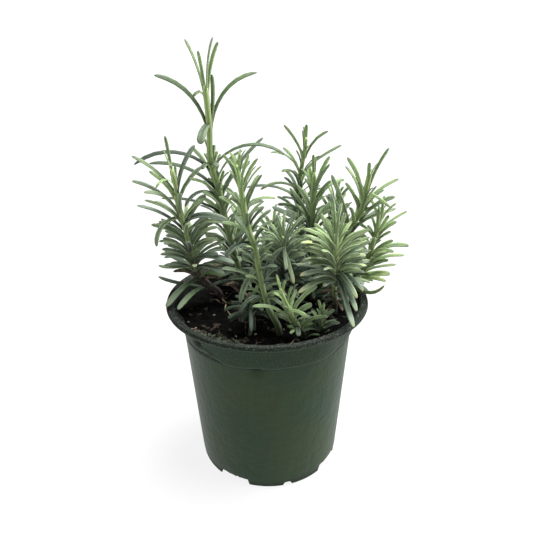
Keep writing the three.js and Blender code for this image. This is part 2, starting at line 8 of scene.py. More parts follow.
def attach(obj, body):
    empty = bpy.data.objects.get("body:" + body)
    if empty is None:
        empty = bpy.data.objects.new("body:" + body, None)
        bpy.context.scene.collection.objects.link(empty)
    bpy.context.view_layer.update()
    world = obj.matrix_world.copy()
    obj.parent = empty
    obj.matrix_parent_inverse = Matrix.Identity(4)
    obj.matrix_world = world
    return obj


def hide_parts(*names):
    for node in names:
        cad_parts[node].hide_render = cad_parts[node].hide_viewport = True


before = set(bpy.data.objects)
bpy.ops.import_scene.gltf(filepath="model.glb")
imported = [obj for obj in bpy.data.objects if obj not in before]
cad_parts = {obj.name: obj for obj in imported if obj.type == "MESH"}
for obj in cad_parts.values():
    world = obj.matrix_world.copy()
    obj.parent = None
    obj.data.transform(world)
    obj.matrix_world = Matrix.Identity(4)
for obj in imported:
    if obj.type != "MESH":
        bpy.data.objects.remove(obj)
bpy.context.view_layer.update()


# Camera
# A phone held level with the plant's top, 0.47 m from the pot's foot, looking down at it.
# The view was worked out from the outlines of the pot's rim, collar and foot.
MM = 0.001
CAMERA_PLACE = (0, -354.8 * MM, 313.8 * MM)
CAMERA_DIP = math.radians(23.4)
CAMERA_ROLL = math.radians(-0.9)

camera_data = bpy.data.cameras.new("camera")
camera_data.lens = 35.1
camera_data.sensor_width = 36
camera_data.clip_start = 0.01
camera = bpy.data.objects.new("camera", camera_data)
tilt = Matrix.Rotation(math.pi / 2 - CAMERA_DIP, 4, "X")
roll = Matrix.Rotation(CAMERA_ROLL, 4, "Z")
camera.matrix_world = Matrix.Translation(CAMERA_PLACE) @ tilt @ roll
bpy.context.collection.objects.link(camera)
bpy.context.scene.camera = camera


# Pot
# A thin-walled nursery pot of dark green polypropylene with a flat lip, a collar to
# grip and a foot with drain notches. It is moulded in one shot, so its walls are satin,
# with faint upright draw marks. Hard use has creased, dented and scuffed it.
POT_HEIGHT = 137
RIM_RADIUS = 76
RIM_INNER_RADIUS = 69.8
LIP_THICKNESS = 3.5
COLLAR_TOP_RADIUS = 71
COLLAR_FOOT_RADIUS = 69.5
COLLAR_FOOT_HEIGHT = 117
BODY_TOP_RADIUS = 64
BODY_TOP_HEIGHT = 113.5
BASE_RADIUS = 55.7
WALL = 1.2
FLOOR_RADIUS = 44
CHANNEL_HEIGHT = 5
POT_STEPS = 240
CORNER_RADIUS = 0.35
SHARP_ANGLE = 0.6
LONG_STRETCH = 12
LONG_STRETCH_CUTS = 15
# Where the pot was squeezed, the collar lies flat on the wall up to a crease, which runs
# by bearing and height from just under the lip down to the step. The crease has a small
# ridge above it and a hollow at its bend. A knock dented the wall below the step.
CREASE = (
    (-162, 131), (-146, 129), (-137, 130.5), (-131, 130), (-128.5, 127), (-127.5, 123.5),
    (-124, 121), (-118, 118.5), (-110, 115),
)
SQUEEZE = {"from": -176, "fade": 14, "fold": 2.5, "depth": 4.5}
CREASE_RIDGE = {"from": -146, "to": -122, "above": 0.8, "height": 0.9}
HOLLOW = {"bearing": -137.5, "height": 121.8, "depth": 3, "spread": 3.6, "rise": 2.2}
KNOCK = {"bearing": -96.4, "height": 113.8, "depth": 4.2, "spread": 3.8, "rise": 1.9}
KNOCK_REACH = 4
# On the right the whole collar is pressed in below the lip, so its step is narrow there.
RIGHT_PRESS = {"from": -62, "to": 50, "fade": 26, "fold": 4, "depth": 3.6}
# Nearer the axis than this the soil stays firm, and it gives way over the next 10 mm.
SOIL_FIRM_RADIUS = 50
SOIL_GIVE = 10
# How dark each place is painted: real peat dust on the lip and collar, painted shade in the band
# under the step, and a painted contact shadow at the foot's edge.
DUST_AND_PAINTED_SHADE_SHARES = {"lip": 1, "step": 0.9, "collar": 0.3, "foot": 0.8}
FOOT_NOTCHES = (
    {"half_width": 12.5, "height": 4.4, "bearings": (-120, -33, 57, 147)},
    {"half_width": 2.7, "height": 2.4, "bearings": (-76, 12, 102, 192)},
)
NOTCH_RAGGEDNESS = 0.9
FOOT_EDGE = 0.6
DRAIN_HOLES = {"inner": 47, "outer": 52, "half_width": 2.6, "count": 8, "first": -98}


def linear(hex_colour):
    """The linear colour of an sRGB hex value."""
    shares = [int(hex_colour[i:i + 2], 16) / 255 for i in (1, 3, 5)]
    return [s / 12.92 if s <= 0.04045 else ((s + 0.055) / 1.055) ** 2.4 for s in shares] + [1]


def connect(target, inputs):
    """Gives a node's inputs their values, or links them from other nodes."""
    for name, value in inputs.items():
        if isinstance(value, bpy.types.Node):
            value = next(output for output in value.outputs if output.enabled)
        if isinstance(value, bpy.types.NodeSocket):
            target.id_data.links.new(value, target.inputs[name])
        else:
            target.inputs[name].default_value = value


def node(material, kind, inputs, stops=(), **settings):
    """Adds a node with its settings and links. Stops are a ramp's places and hex colours."""
    made = material.node_tree.nodes.new("ShaderNode" + kind)
    for name, value in settings.items():
        setattr(made, name, value)
    for number, (place, colour) in enumerate(stops):
        elements = made.color_ramp.elements
        stop = elements[number] if number < 2 else elements.new(place)
        stop.position = place
        stop.color = linear(colour)
    connect(made, inputs)
    return made


def new_material(name):
    """A named material, its shader and the point on the piece that it colours."""
    material = bpy.data.materials.new(name)
    material.use_nodes = True
    shader = material.node_tree.nodes["Principled BSDF"]
    return material, shader, node(material, "TexCoord", {}).outputs["Object"]


def new_piece(name, bm, *materials):
    """Turns a bmesh into a smooth piece in the scene."""
    mesh = bpy.data.meshes.new(name)
    bm.to_mesh(mesh)
    bm.free()
    for material in materials:
        mesh.materials.append(material)
    mesh.shade_smooth()
    piece = bpy.data.objects.new(name, mesh)
    bpy.context.collection.objects.link(piece)
    return piece


def mix(a, b, share):
    return (1 - share) * a + share * b


def clamp(value):
    return min(1, max(0, value))


def eased(share):
    share = clamp(share)
    return share * share * (3 - 2 * share)


def body_radius(height):
    return mix(BASE_RADIUS, BODY_TOP_RADIUS, height / BODY_TOP_HEIGHT)


def turned(outline, steps):
    """A bmesh in metres, turned on the pot's axis from an outline in millimetres."""
    bm = bmesh.new()
    points = [bm.verts.new((radius * MM, 0, height * MM)) for radius, height in outline]
    edges = [bm.edges.new(pair) for pair in zip(points, points[1:])]
    long_edges = [edge for edge in edges if edge.calc_length() > LONG_STRETCH * MM]
    bmesh.ops.subdivide_edges(bm, edges=long_edges, cuts=LONG_STRETCH_CUTS)
    bmesh.ops.spin(
        bm, geom=bm.verts[:] + bm.edges[:], axis=(0, 0, 1), cent=(0, 0, 0),
        angle=2 * math.pi, steps=steps, use_merge=True,
    )
    bmesh.ops.remove_doubles(bm, verts=bm.verts[:], dist=0.01 * MM)
    bmesh.ops.recalc_face_normals(bm, faces=bm.faces[:])
    return bm


def bearing_of(point):
    return math.degrees(math.atan2(point.y, point.x))


def away_from(bearing, centre, radius):
    """How far two bearings are apart along a circle."""
    return math.radians(abs((bearing - centre + 180) % 360 - 180)) * radius


def dent(place, bearing, height):
    across = (bearing - place["bearing"]) / place["spread"]
    along = (height - place["height"]) / place["rise"]
    return place["depth"] * math.exp(-across * across - along * along)


def press_dents(vertex, lift=0):
    """Presses in the pot's collar and wall, and with a lift the soil behind the crease."""
    height = vertex.co.z / MM
    radius = vertex.co.xy.length / MM
    if height < BODY_TOP_HEIGHT - KNOCK_REACH or radius < 1:
        return
    bearing = bearing_of(vertex.co)
    push = dent(KNOCK, bearing, height) + dent(HOLLOW, bearing, height)
    if height > COLLAR_FOOT_HEIGHT - 2:
        below_crease = float(np.interp(bearing, *zip(*CREASE))) + lift - height
        squeeze = SQUEEZE["depth"] * eased(below_crease / SQUEEZE["fold"])
        push += squeeze * eased((bearing - SQUEEZE["from"]) / SQUEEZE["fade"])
        beside = min(bearing - RIGHT_PRESS["from"], RIGHT_PRESS["to"] - bearing)
        press = RIGHT_PRESS["depth"] * eased(beside / RIGHT_PRESS["fade"])
        push += press * eased((POT_HEIGHT - LIP_THICKNESS - height) / RIGHT_PRESS["fold"])
        if CREASE_RIDGE["from"] < bearing < CREASE_RIDGE["to"] and not lift:
            off_ridge = below_crease + CREASE_RIDGE["above"]
            push -= CREASE_RIDGE["height"] * math.exp(-off_ridge ** 2)
    push *= eased((radius - SOIL_FIRM_RADIUS) / SOIL_GIVE)
    vertex.co.xy *= (radius - push) / radius


def dust_and_painted_shade_on(vertex):
    """Dust inside and on the lip; painted shade under the step and in the crease's hollow and the
    knock's dent; a painted contact shadow at the foot's edge; a little dust on the collar.
    """
    height = vertex.co.z / MM
    radius = vertex.co.xy.length / MM
    faces_in = vertex.normal.xy.dot(vertex.co.xy) < 0
    if height > POT_HEIGHT - 2 or height > COLLAR_FOOT_HEIGHT and faces_in:
        return DUST_AND_PAINTED_SHADE_SHARES["lip"]
    # Painted shade: the band under the collar's step is darkened.
    if BODY_TOP_HEIGHT - 1 < height < COLLAR_FOOT_HEIGHT - 0.5:
        return DUST_AND_PAINTED_SHADE_SHARES["step"]
    if height > COLLAR_FOOT_HEIGHT:
        # Painted shade in the crease's hollow.
        hollow = dent(HOLLOW, bearing_of(vertex.co), height) / HOLLOW["depth"]
        return mix(DUST_AND_PAINTED_SHADE_SHARES["collar"], 1, hollow)
    # Painted shade in the knock's dent.
    if height > BODY_TOP_HEIGHT - KNOCK_REACH:
        return dent(KNOCK, bearing_of(vertex.co), height) / KNOCK["depth"]
    # A painted contact shadow along the foot's edge.
    at_edge = height < FOOT_EDGE + 0.3 and radius > BASE_RADIUS - 2
    return DUST_AND_PAINTED_SHADE_SHARES["foot"] if at_edge else 0


def lift_foot(vertex):
    """Raises the skirt's edge to make the notches, which are a little ragged."""
    radius = vertex.co.xy.length / MM
    if vertex.co.z > FOOT_EDGE * MM or radius < BASE_RADIUS - WALL - 0.5:
        return
    bearing = bearing_of(vertex.co)
    for notch in FOOT_NOTCHES:
        for centre in notch["bearings"]:
            if away_from(bearing, centre, BASE_RADIUS) < notch["half_width"]:
                ragged = NOTCH_RAGGEDNESS * noise.noise(Vector((bearing / 2, 0, 7)))
                vertex.co.z += (notch["height"] + ragged) * MM


def open_drain_holes(bm):
    """Opens the channel's roof and joins both faces of the wall round each hole."""
    middle = (DRAIN_HOLES["inner"] + DRAIN_HOLES["outer"]) / 2
    half_width = DRAIN_HOLES["half_width"]
    for hole in range(DRAIN_HOLES["count"]):
        centre = DRAIN_HOLES["first"] + 360 * hole / DRAIN_HOLES["count"]
        doomed = []
        for face in bm.faces:
            place = face.calc_center_median()
            in_ring = abs(place.xy.length / MM - middle) < 1 and place.z < 8 * MM
            if in_ring and away_from(bearing_of(place), centre, middle) < half_width:
                doomed.append(face)
        bmesh.ops.delete(bm, geom=doomed, context="FACES")
        bmesh.ops.bridge_loops(bm, edges=[edge for edge in bm.edges if edge.is_boundary])


lip_underside = POT_HEIGHT - LIP_THICKNESS
channel_roof = CHANNEL_HEIGHT + WALL
pot_outline = (
    (0, 0),
    (FLOOR_RADIUS, 0),
    (FLOOR_RADIUS + 1.6, CHANNEL_HEIGHT),
    (DRAIN_HOLES["inner"], CHANNEL_HEIGHT),
    (DRAIN_HOLES["outer"], CHANNEL_HEIGHT),
    (BASE_RADIUS - WALL, CHANNEL_HEIGHT),
    (BASE_RADIUS - WALL, 0),
    (BASE_RADIUS - 0.3, 0),
    (body_radius(6), 6),
    (body_radius(BODY_TOP_HEIGHT - 2), BODY_TOP_HEIGHT - 2),
    (BODY_TOP_RADIUS, BODY_TOP_HEIGHT),
    (COLLAR_FOOT_RADIUS - 0.7, COLLAR_FOOT_HEIGHT - 1.2),
    (COLLAR_FOOT_RADIUS, COLLAR_FOOT_HEIGHT),
    (COLLAR_TOP_RADIUS, lip_underside),
    (RIM_RADIUS - 0.5, lip_underside),
    (RIM_RADIUS, lip_underside + 1.2),
    (RIM_RADIUS - 0.8, POT_HEIGHT),
    (RIM_INNER_RADIUS + 1, POT_HEIGHT - 0.6),
    (RIM_INNER_RADIUS, POT_HEIGHT - 1.8),
    (COLLAR_FOOT_RADIUS - WALL, COLLAR_FOOT_HEIGHT + 0.4),
    (BODY_TOP_RADIUS - WALL, BODY_TOP_HEIGHT + 0.4),
    (body_radius(channel_roof) - WALL, channel_roof),
    (DRAIN_HOLES["outer"], channel_roof),
    (DRAIN_HOLES["inner"], channel_roof),
    (FLOOR_RADIUS + 0.6, channel_roof),
    (FLOOR_RADIUS - 1, WALL),
    (0, WALL),
)
bm = turned(pot_outline, POT_STEPS)
open_drain_holes(bm)
corners = [
    edge for edge in bm.edges if edge.is_manifold and edge.calc_face_angle() > SHARP_ANGLE
]
bmesh.ops.bevel(
    bm, geom=corners, offset=CORNER_RADIUS * MM, affect="EDGES",
    segments=2, profile=0.5, material=-1,
)
bm.normal_update()
# This attribute carries real dust and painted shade alike.
dust_and_painted_shade = bm.verts.layers.float.new("dust_and_painted_shade")
for vertex in bm.verts:
    vertex[dust_and_painted_shade] = dust_and_painted_shade_on(vertex)
    press_dents(vertex)
    lift_foot(vertex)

# Polypropylene is a little waxy. Its mould was polished, so it is satin with soft,
# wide highlights; the draw marks run up the wall about 3 mm apart.
plastic, shader, place = new_material("moulded_green_polypropylene")
cloud = node(plastic, "TexNoise", {"Vector": place, "Scale": 22, "Detail": 4})
stretched = node(plastic, "Mapping", {"Vector": place, "Scale": (1, 1, 0.05)})
draw_marks = node(plastic, "TexNoise", {"Vector": stretched, "Scale": 330, "Detail": 2})
green = node(plastic, "ValToRGB", {"Fac": cloud}, stops=[
    (0.35, "#19321E"), (0.5, "#1F351C"), (0.65, "#27371C"),
])
streaks = node(
    plastic, "Mix", {0: 0.18, 6: green, 7: draw_marks.outputs["Color"]},
    data_type="RGBA", blend_type="OVERLAY",
)
satin = node(plastic, "MapRange", {"Value": cloud, "To Min": 0.38, "To Max": 0.5})
marks = node(plastic, "Bump", {"Height": draw_marks, "Strength": 0.1, "Distance": 0.4 * MM})
# Handling left shallow dents and scuffs, 4 to 8 mm across.
knocks = node(plastic, "TexNoise", {"Vector": place, "Scale": 150, "Detail": 3})
relief = node(plastic, "Bump", {
    "Height": knocks, "Strength": 0.5, "Distance": 1.2 * MM, "Normal": marks,
})
# The lip and collar carry peat dust with paler specks of sand and perlite, 0.3 to 0.8 mm across.
# The same dark colour is also painted shade under the step, in the crease's hollow and in the
# knock's dent, and a painted contact shadow at the foot's edge.
dust_and_shade_attribute = node(plastic, "Attribute", {}, attribute_name="dust_and_painted_shade").outputs["Fac"]
specks = node(plastic, "TexNoise", {"Vector": place, "Scale": 1300, "Detail": 3})
dust = node(plastic, "ValToRGB", {"Fac": specks}, stops=[
    (0.45, "#070B08"), (0.6, "#131813"), (0.68, "#6E726A"),
])
patchy = node(plastic, "MapRange", {
    "Value": cloud, "From Min": 0.3, "From Max": 0.6, "To Min": 0.8, "To Max": 1,
})
dust_and_shade_share = node(plastic, "Math", {0: dust_and_shade_attribute, 1: patchy}, operation="MULTIPLY")
colour = node(plastic, "Mix", {0: dust_and_shade_share, 6: streaks, 7: dust}, data_type="RGBA")
dull = node(plastic, "Mix", {0: dust_and_shade_share, 2: satin, 3: 0.8}, data_type="FLOAT")
connect(shader, {
    "Base Color": colour, "Roughness": dull, "IOR": 1.49, "Specular IOR Level": 0.22,
    "Normal": relief,
})

pot = new_piece("pot_shell", bm, plastic)
pot.modifiers.new("even_shading", "WEIGHTED_NORMAL")
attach(pot, "root")
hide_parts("pot")


# Potting mix
# Damp peat with bark, perlite and fine roots in it, filled to just under the lip. It is
# loose, so it has settled into small clods and hollows and meets the wall unevenly.
SOIL_LEVEL = 124
SOIL_EDGE_RADIUS = 68.6
SOIL_GAP = 0.3
SOIL_RINGS = 60
SOIL_STEPS = 240
SOIL_LIFT = 5
SWELLS = 0.9
CLODS = {"height": 2.4, "size": 6}
CRUMBS = {"height": 1.5, "size": 2.2}


def soil_top(x, y):
    """The plain slope and swells of the surface, without its clods."""
    swells = SWELLS * math.sin(x / 7 + 1.3) * math.cos(y / 6 - 0.4)
    return SOIL_LEVEL + 0.03 * x + 0.035 * y + swells


def soil_surface(x, y):
    size = CLODS["size"]
    clods = CLODS["height"] * noise.noise(Vector((x / size, y / size, 3)))
    size = CRUMBS["size"]
    crumbs = CRUMBS["height"] * noise.noise(Vector((x / size, y / size, 9)))
    return soil_top(x, y) + clods + crumbs


soil_outline = [
    (0, WALL + SOIL_GAP),
    (FLOOR_RADIUS - 1.6, WALL + SOIL_GAP),
    (FLOOR_RADIUS + 0.2, channel_roof + SOIL_GAP),
    (body_radius(channel_roof) - WALL - SOIL_GAP, channel_roof + SOIL_GAP),
    (BODY_TOP_RADIUS - WALL - SOIL_GAP, BODY_TOP_HEIGHT),
    (COLLAR_FOOT_RADIUS - WALL - SOIL_GAP, COLLAR_FOOT_HEIGHT + 1.5),
]
for ring in range(SOIL_RINGS + 1):
    soil_outline.append((SOIL_EDGE_RADIUS * (1 - ring / SOIL_RINGS), SOIL_LEVEL))
bm = turned(soil_outline, SOIL_STEPS)
for vertex in bm.verts:
    press_dents(vertex, SOIL_LIFT)
    if vertex.co.z > (SOIL_LEVEL - 1) * MM:
        vertex.co.z = soil_surface(vertex.co.x / MM, vertex.co.y / MM) * MM

# Wet peat is nearly black and dull; its brown crumbs and fibres are 1 to 2 mm across.
peat, shader, place = new_material("damp_peat_potting_mix")
grain = node(peat, "TexNoise", {"Vector": place, "Scale": 600, "Detail": 5, "Roughness": 0.7})
brown = node(peat, "ValToRGB", {"Fac": grain}, stops=[
    (0.46, "#020202"), (0.6, "#070605"), (0.68, "#20160F"), (0.78, "#46311F"),
])
relief = node(peat, "Bump", {"Height": grain, "Strength": 0.8, "Distance": 1.2 * MM})
connect(shader, {
    "Base Color": brown, "Roughness": 0.9, "Specular IOR Level": 0.1, "Normal": relief,
})

soil = new_piece("potting_mix", bm, peat)
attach(soil, "root")
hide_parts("soil")


# Shoots
# Each shoot of lavender is a square green stem with narrow felted leaves in pairs, each
# pair a quarter turn from the one below, and tufts of young leaves in its joints. It
# grew as one, so it is one piece, and its foot stands 12 mm deep in the potting mix.
STEM_FOOT = 112
SAMPLE_STEP = 2.5
LEAF_GAP = 0.45
TURN_TO_LIGHT = 40
LEAF_KEEP_OFF_RIM = 1
LEAF_SOIL_RADIUS = 66.2
# A leaf's stalk has a share of its width, and it is widest at a share of its length and
# blunt at the tip. Leaves of one shoot may touch at their feet, and crowd further out.
STALK_WIDTH = 0.45
WIDEST_AT = 0.7
BLUNT_FROM = 0.84
BLUNTING = 0.45
NEARBY = 9
LEAF_FOOT = 0.4
CROWDING = 0.55
# The spans, in degrees, over which chance turns, lifts and rolls a leaf, and what sets
# the random numbers for the fine leaves and for the leaves' looks apart from the others.
PLANNED_ROLL = 30
PAIR_CHANCE = {"turn": 30, "lift": 16, "roll": 40}
FINE_CHANCE = {"turn": 50, "lift": 24, "roll": 40}
FINE_SEED = 1000
LOOKS_SEED = 2000
# Ways to shift a leaf that meets something: turn, climb, share of its length.
SHIFTS = (
    (0, 0, 1), (10, 0, 1), (-10, 0, 1), (0, 12, 1), (0, -12, 1), (20, 8, 1), (-20, 8, 1),
    (18, -10, 0.9), (-18, -10, 0.9), (0, 0, 0.8), (28, 14, 0.75), (-28, 14, 0.75), (0, 0, 0.6),
)
# Sizes are in millimetres, and headings run from the right (0) to the back (90). Leaves
# set one by one are rows of: height on the stem, heading, climb, length, bow, width.
# The pairs run between two heights, with the lowest's and the highest's length and climb.
SHOOTS = [
    {
        "name": "shoot_tall", "seed": 11, "thickness": (5.8, 4.6),
        "path": [
            (-19, 24, STEM_FOOT), (-19, 24, 130), (-22, 21, 150), (-26, 18, 172), (-31, 15, 197),
            (-34, 12, 219), (-38, 8, 238), (-37, 4, 262), (-38, 2, 288),
        ],
        "leaves": [
            (262, -165, 45, 47, 0.36, 4), (262, 10, 45, 47, 0.42, 4),
            (265, -110, -40, 19, 0.25, 6), (265, 20, 83, 30, -0.1, 4.6),
            (279, -150, 15, 10, 1.1, 3.4), (284, -160, 70, 34, 0.1, 3.2),
            (286, 130, 75, 24, 0.05, 2.6), (284, -40, 75, 34, 0.1, 3.4),
            (284, 35, 70, 32, 0.1, 3.2), (238, -170, 0, 52, 0.36, 3.6), (238, -5, 5, 52, 0.42, 3.6),
            (237, -120, -15, 11, 0.3, 4.2), (237, -50, -15, 9, 0.3, 3.8),
            (222, 175, 15, 50, 0.25, 3.4), (216, 20, 45, 49, 0.1, 3.2),
            (216, -155, -15, 29, 0.45, 3.4),
            (203, -175, 10, 44, 0.12, 2.6), (205, -130, 35, 22, 0.15, 5.4),
        ],
        "pairs": {
            "from": 140, "to": 226, "count": 8, "heading": 40,
            "length": (26, 32), "climb": (5, 35), "bow": 0.2, "width": 3.2,
        },
    },
    {
        "name": "shoot_left", "seed": 23, "thickness": (4, 3.8),
        "path": [
            (-38, 22, STEM_FOOT), (-38, 22, 128), (-46, 18, 138), (-53, 13, 151), (-57, 7, 176),
            (-59, 4, 191), (-62, 1, 211), (-62, -1, 223), (-64, -2, 235),
        ],
        "leaves": [
            (231, 145, 80, 26, 0.05, 2.6), (229, -130, 70, 21, 0.05, 2.8),
            (222, -165, 40, 36, 0.12, 3.4), (227, -125, -5, 18, 0.5, 2.4),
            (224, 10, 60, 30, 0.15, 5.2), (208, 180, 30, 36, 0.2, 3.2),
            (207, -150, 30, 28, 0.3, 3.4), (195, 175, 20, 35, 0.1, 3.2),
            (200, 155, 25, 22, 0.1, 3.2), (201, -150, -45, 29, 0.5, 4.2),
            (195, 20, 45, 25, 0.15, 5.6), (200, -10, -5, 34, 0.25, 5.2),
            (192, 10, 0, 29, 0.2, 4.4), (180, 30, 25, 18, 0.1, 3), (173, 10, 25, 21, 0.1, 3.4),
            (169, -15, -10, 34, 0.1, 4.6), (162, -25, -15, 27, 0.1, 4.2),
            (171, -165, 30, 23, 0.15, 3.6), (170, -167, 0, 23, 0, 3.6),
            (163, -175, -8, 27, -0.3, 3), (155, 180, 27, 20, 0.1, 4),
            (141, -165, 14, 37, -0.2, 3.8), (151, -116, -13, 44, 0.05, 5.2),
            (141, -107, 1, 50, 0.1, 4.6),
        ],
        "pairs": {
            "from": 150, "to": 216, "count": 9, "heading": 10,
            "length": (23, 27), "climb": (12, 38), "bow": 0.14, "width": 3.6,
        },
    },
    {
        "name": "shoot_front", "seed": 37, "thickness": (4.8, 3.8),
        "path": [
            (8, -36, STEM_FOOT), (8, -36, 128), (2, -36, 142), (-2, -35, 156), (-5, -33, 172),
            (-8, -30, 189), (-12, -27, 201), (-15, -22, 219), (-17, -18, 231), (-19, -16, 240),
        ],
        "leaves": [
            (231, 160, 55, 19, 0.1, 2.4), (235, -125, 60, 14, 0.05, 2.2),
            (235, 55, 75, 12, 0, 2.2), (231, 40, 60, 17, 0.05, 2.4), (227, 10, 55, 21, 0.12, 2.6),
            (224, -15, 50, 22, 0.12, 2.4), (214, -10, 60, 25, 0.08, 2.6),
            (218, -10, 5, 22, 0.15, 2.6), (208, -25, 40, 18, 0.1, 3), (203, -10, 45, 16, 0.1, 3),
            (194, -15, 40, 20, 0.25, 3.2), (208, -160, 40, 23, 0.2, 3),
            (214, 150, 40, 17, 0.1, 3.2), (192, -145, 55, 24, 0.12, 5.4),
            (192, -150, -20, 22, 0.35, 4.8), (183, -135, 40, 14, 0.25, 2.8),
            (165, -160, 25, 30, 0.2, 3.6), (163, -30, 60, 33, 0.15, 3.2),
            (176, -136, -53, 28, 0.2, 4), (155, -152, -26, 21, 0.45, 3),
            (155, -44, -11, 16, 0.2, 3), (157, -30, 2, 18, 0.25, 3),
        ],
        "pairs": {
            "from": 166, "to": 224, "count": 8, "heading": 35,
            "length": (20, 20), "climb": (10, 45), "bow": 0.15, "width": 3,
        },
    },
    {
        "name": "shoot_crown", "seed": 41, "thickness": (4.8, 3.6),
        "path": [
            (51, -8, STEM_FOOT), (51, -8, 130), (50, -12, 140), (48, -21, 155), (48, -29, 172),
            (46, -34, 186), (46, -35, 198),
        ],
        "leaves": [
            (169, -74, -42, 42, 0.05, 4.6), (169, -66, -36, 33, 0.12, 3.8),
            (171, -62, -29, 27, 0.2, 3.6), (171, -28, -35, 24, 0.2, 3),
            (176, -164, 33, 31, 0.42, 3.2), (174, -161, 33, 30, 0.36, 3),
            (172, -159, 32, 29, 0.3, 3), (171, -154, 29, 25, 0.25, 2.8),
            (170, -152, 24, 23, 0.2, 2.8), (170, -168, 13, 29, 0.05, 2.6),
            (168, -154, 5, 29, 0.2, 3.6), (165, -146, -9, 33, 0.15, 3.6),
            (172, -3, 45, 27, 0.25, 3), (194, 110, 75, 27, 0, 2.8), (191, 140, 55, 22, 0.05, 3),
            (192, 30, 70, 20, 0.05, 3), (193, -150, 35, 21, 0.05, 3.2),
            (188, 175, 30, 25, 0.25, 3.2), (179, -5, 30, 25, 0.08, 3.4),
            (176, 10, 10, 21, 0.08, 3.2), (172, -10, 5, 20, 0.12, 3),
        ],
        "pairs": {
            "from": 160, "to": 190, "count": 12, "heading": 48,
            "length": (20, 24), "climb": (0, 38), "bow": 0.15, "width": 3,
        },
    },
    {
        "name": "shoot_right", "seed": 53, "thickness": (4.8, 3.8),
        "path": [
            (52, 10, STEM_FOOT), (52, 10, 130), (54, 5, 158), (55, 1, 175), (60, -2, 191),
            (67, -2, 202), (70, -2, 218), (72, -2, 230),
        ],
        "leaves": [
            (222, 10, 60, 28, 0.08, 3.2), (225, -100, 70, 14, 0, 2.8),
            (212, 165, 65, 31, 0.18, 3.6), (209, -160, 60, 31, 0.2, 3.2),
            (213, 10, 25, 27, 0.05, 3), (206, -55, 55, 21, 0.1, 4.6), (201, -15, 30, 27, 0.15, 4.4),
            (218, -40, -25, 21, 0.1, 2.4), (198, 10, 5, 32, -0.05, 3.4), (193, 20, 15, 33, 0, 3),
            (193, 155, 65, 38, 0.05, 3.8), (190, 180, 58, 30, 0.1, 5.6),
        ],
        "pairs": {
            "from": 150, "to": 212, "count": 9, "heading": 60,
            "length": (22, 25), "climb": (15, 50), "bow": 0.14, "width": 3.2,
        },
    },
    {
        "name": "shoot_far_right", "seed": 67, "thickness": (4.2, 3.2),
        "path": [
            (53, 19, STEM_FOOT), (53, 19, 128), (60, 15, 139), (67, 9, 148), (75, 4, 162),
            (79, 2, 178), (81, 0, 193), (84, 0, 203),
        ],
        "leaves": [
            (190, 10, 25, 24, 0, 2.6), (185, 30, 45, 16, 0, 2.8), (179, -20, 35, 14, 0.1, 2.8),
            (173, 5, 0, 28, 0.15, 4), (171, -30, 5, 17, 0.25, 3.4), (164, 10, 0, 29, 0.1, 3),
            (159, -35, 20, 16, -0.1, 2.8), (157, 5, 0, 26, 0, 2.6), (151, -10, 0, 25, 0.05, 5),
            (147, -28, 2, 26, 0.15, 3.4), (143, 8, 8, 29, -0.25, 3.6),
        ],
        "pairs": {
            "from": 150, "to": 197, "count": 8, "heading": 75,
            "length": (19, 17), "climb": (12, 55), "bow": 0.14, "width": 3,
        },
    },
    {
        "name": "shoot_middle", "seed": 71, "thickness": (4.6, 3.4),
        "path": [
            (36, 14, STEM_FOOT), (36, 14, 130), (35, 10, 150), (35, 7, 170), (34, 4, 190),
            (33, 0, 211), (34, -2, 231),
        ],
        "leaves": [
            (227, 75, 80, 13, 0, 2.8), (218, 25, 60, 26, 0.12, 3.2), (217, -20, 60, 23, 0.12, 3.2),
            (214, -155, 65, 22, 0.3, 3), (217, 30, 10, 28, 0.1, 3), (210, -20, 50, 20, 0.12, 3.8),
            (190, -160, 30, 36, 0.05, 4.6), (198, 165, 50, 26, 0.05, 3.2),
        ],
        "pairs": {
            "from": 148, "to": 214, "count": 10, "heading": 20,
            "length": (22, 24), "climb": (5, 50), "bow": 0.16, "width": 3.2,
        },
    },
    {
        "name": "shoot_back_middle", "seed": 83, "thickness": (4.4, 3),
        "path": [
            (28, 41, STEM_FOOT), (28, 41, 130), (27, 38, 155), (27, 35, 180), (27, 32, 202),
            (26, 29, 218), (29, 26, 240), (30, 25, 250),
        ],
        "leaves": [
            (240, 165, 50, 24, 0.08, 2.6), (240, 0, 40, 22, 0.22, 2.6), (244, 65, 80, 15, 0, 3),
            (241, -120, 75, 15, 0, 2.6), (235, -125, 55, 16, 0.1, 2.8), (229, 10, 25, 33, 0.03, 3),
            (227, -165, 30, 27, 0.35, 2.8), (224, -150, 10, 17, 0.2, 2.8),
            (215, -170, -5, 30, 0.3, 2.8), (208, 175, 5, 41, 0.2, 2.8), (202, -150, 15, 17, 0.1, 3),
            (197, -175, 5, 18, 0.1, 3),
        ],
        "pairs": {
            "from": 150, "to": 226, "count": 10, "heading": 50,
            "length": (20, 20), "climb": (5, 40), "bow": 0.16, "width": 3,
        },
    },
    {
        "name": "shoot_rosette", "seed": 97, "thickness": (3.8, 2.4),
        "path": [
            (14, 8, STEM_FOOT), (14, 8, 130), (14, 0, 150), (13, -10, 168), (12, -22, 184),
            (11, -31, 195),
        ],
        "leaves": [
            (190, -83, -49, 20, 0.05, 3), (184, -68, -49, 26, 0.1, 3),
        ],
        "pairs": {
            "from": 146, "to": 192, "count": 17, "heading": 15,
            "length": (24, 20), "climb": (-5, 40), "bow": 0.12, "width": 2.4,
        },
    },
    {
        "name": "sprig_front", "seed": 103, "thickness": (3.4, 2),
        "path": [
            (25, -41, STEM_FOOT), (25, -41, 127), (19, -47, 140), (15, -49, 150), (11, -50, 160),
            (9, -50, 166),
        ],
        "leaves": [
            (138, 170, 20, 15, 0.1, 3.2), (158, -179, 73, 19, 0, 2.6), (156, -4, 71, 12, 0.1, 2.2),
            (156, -153, 43, 13, 0.25, 2.4), (146, -172, 17, 28, 0.25, 3.2),
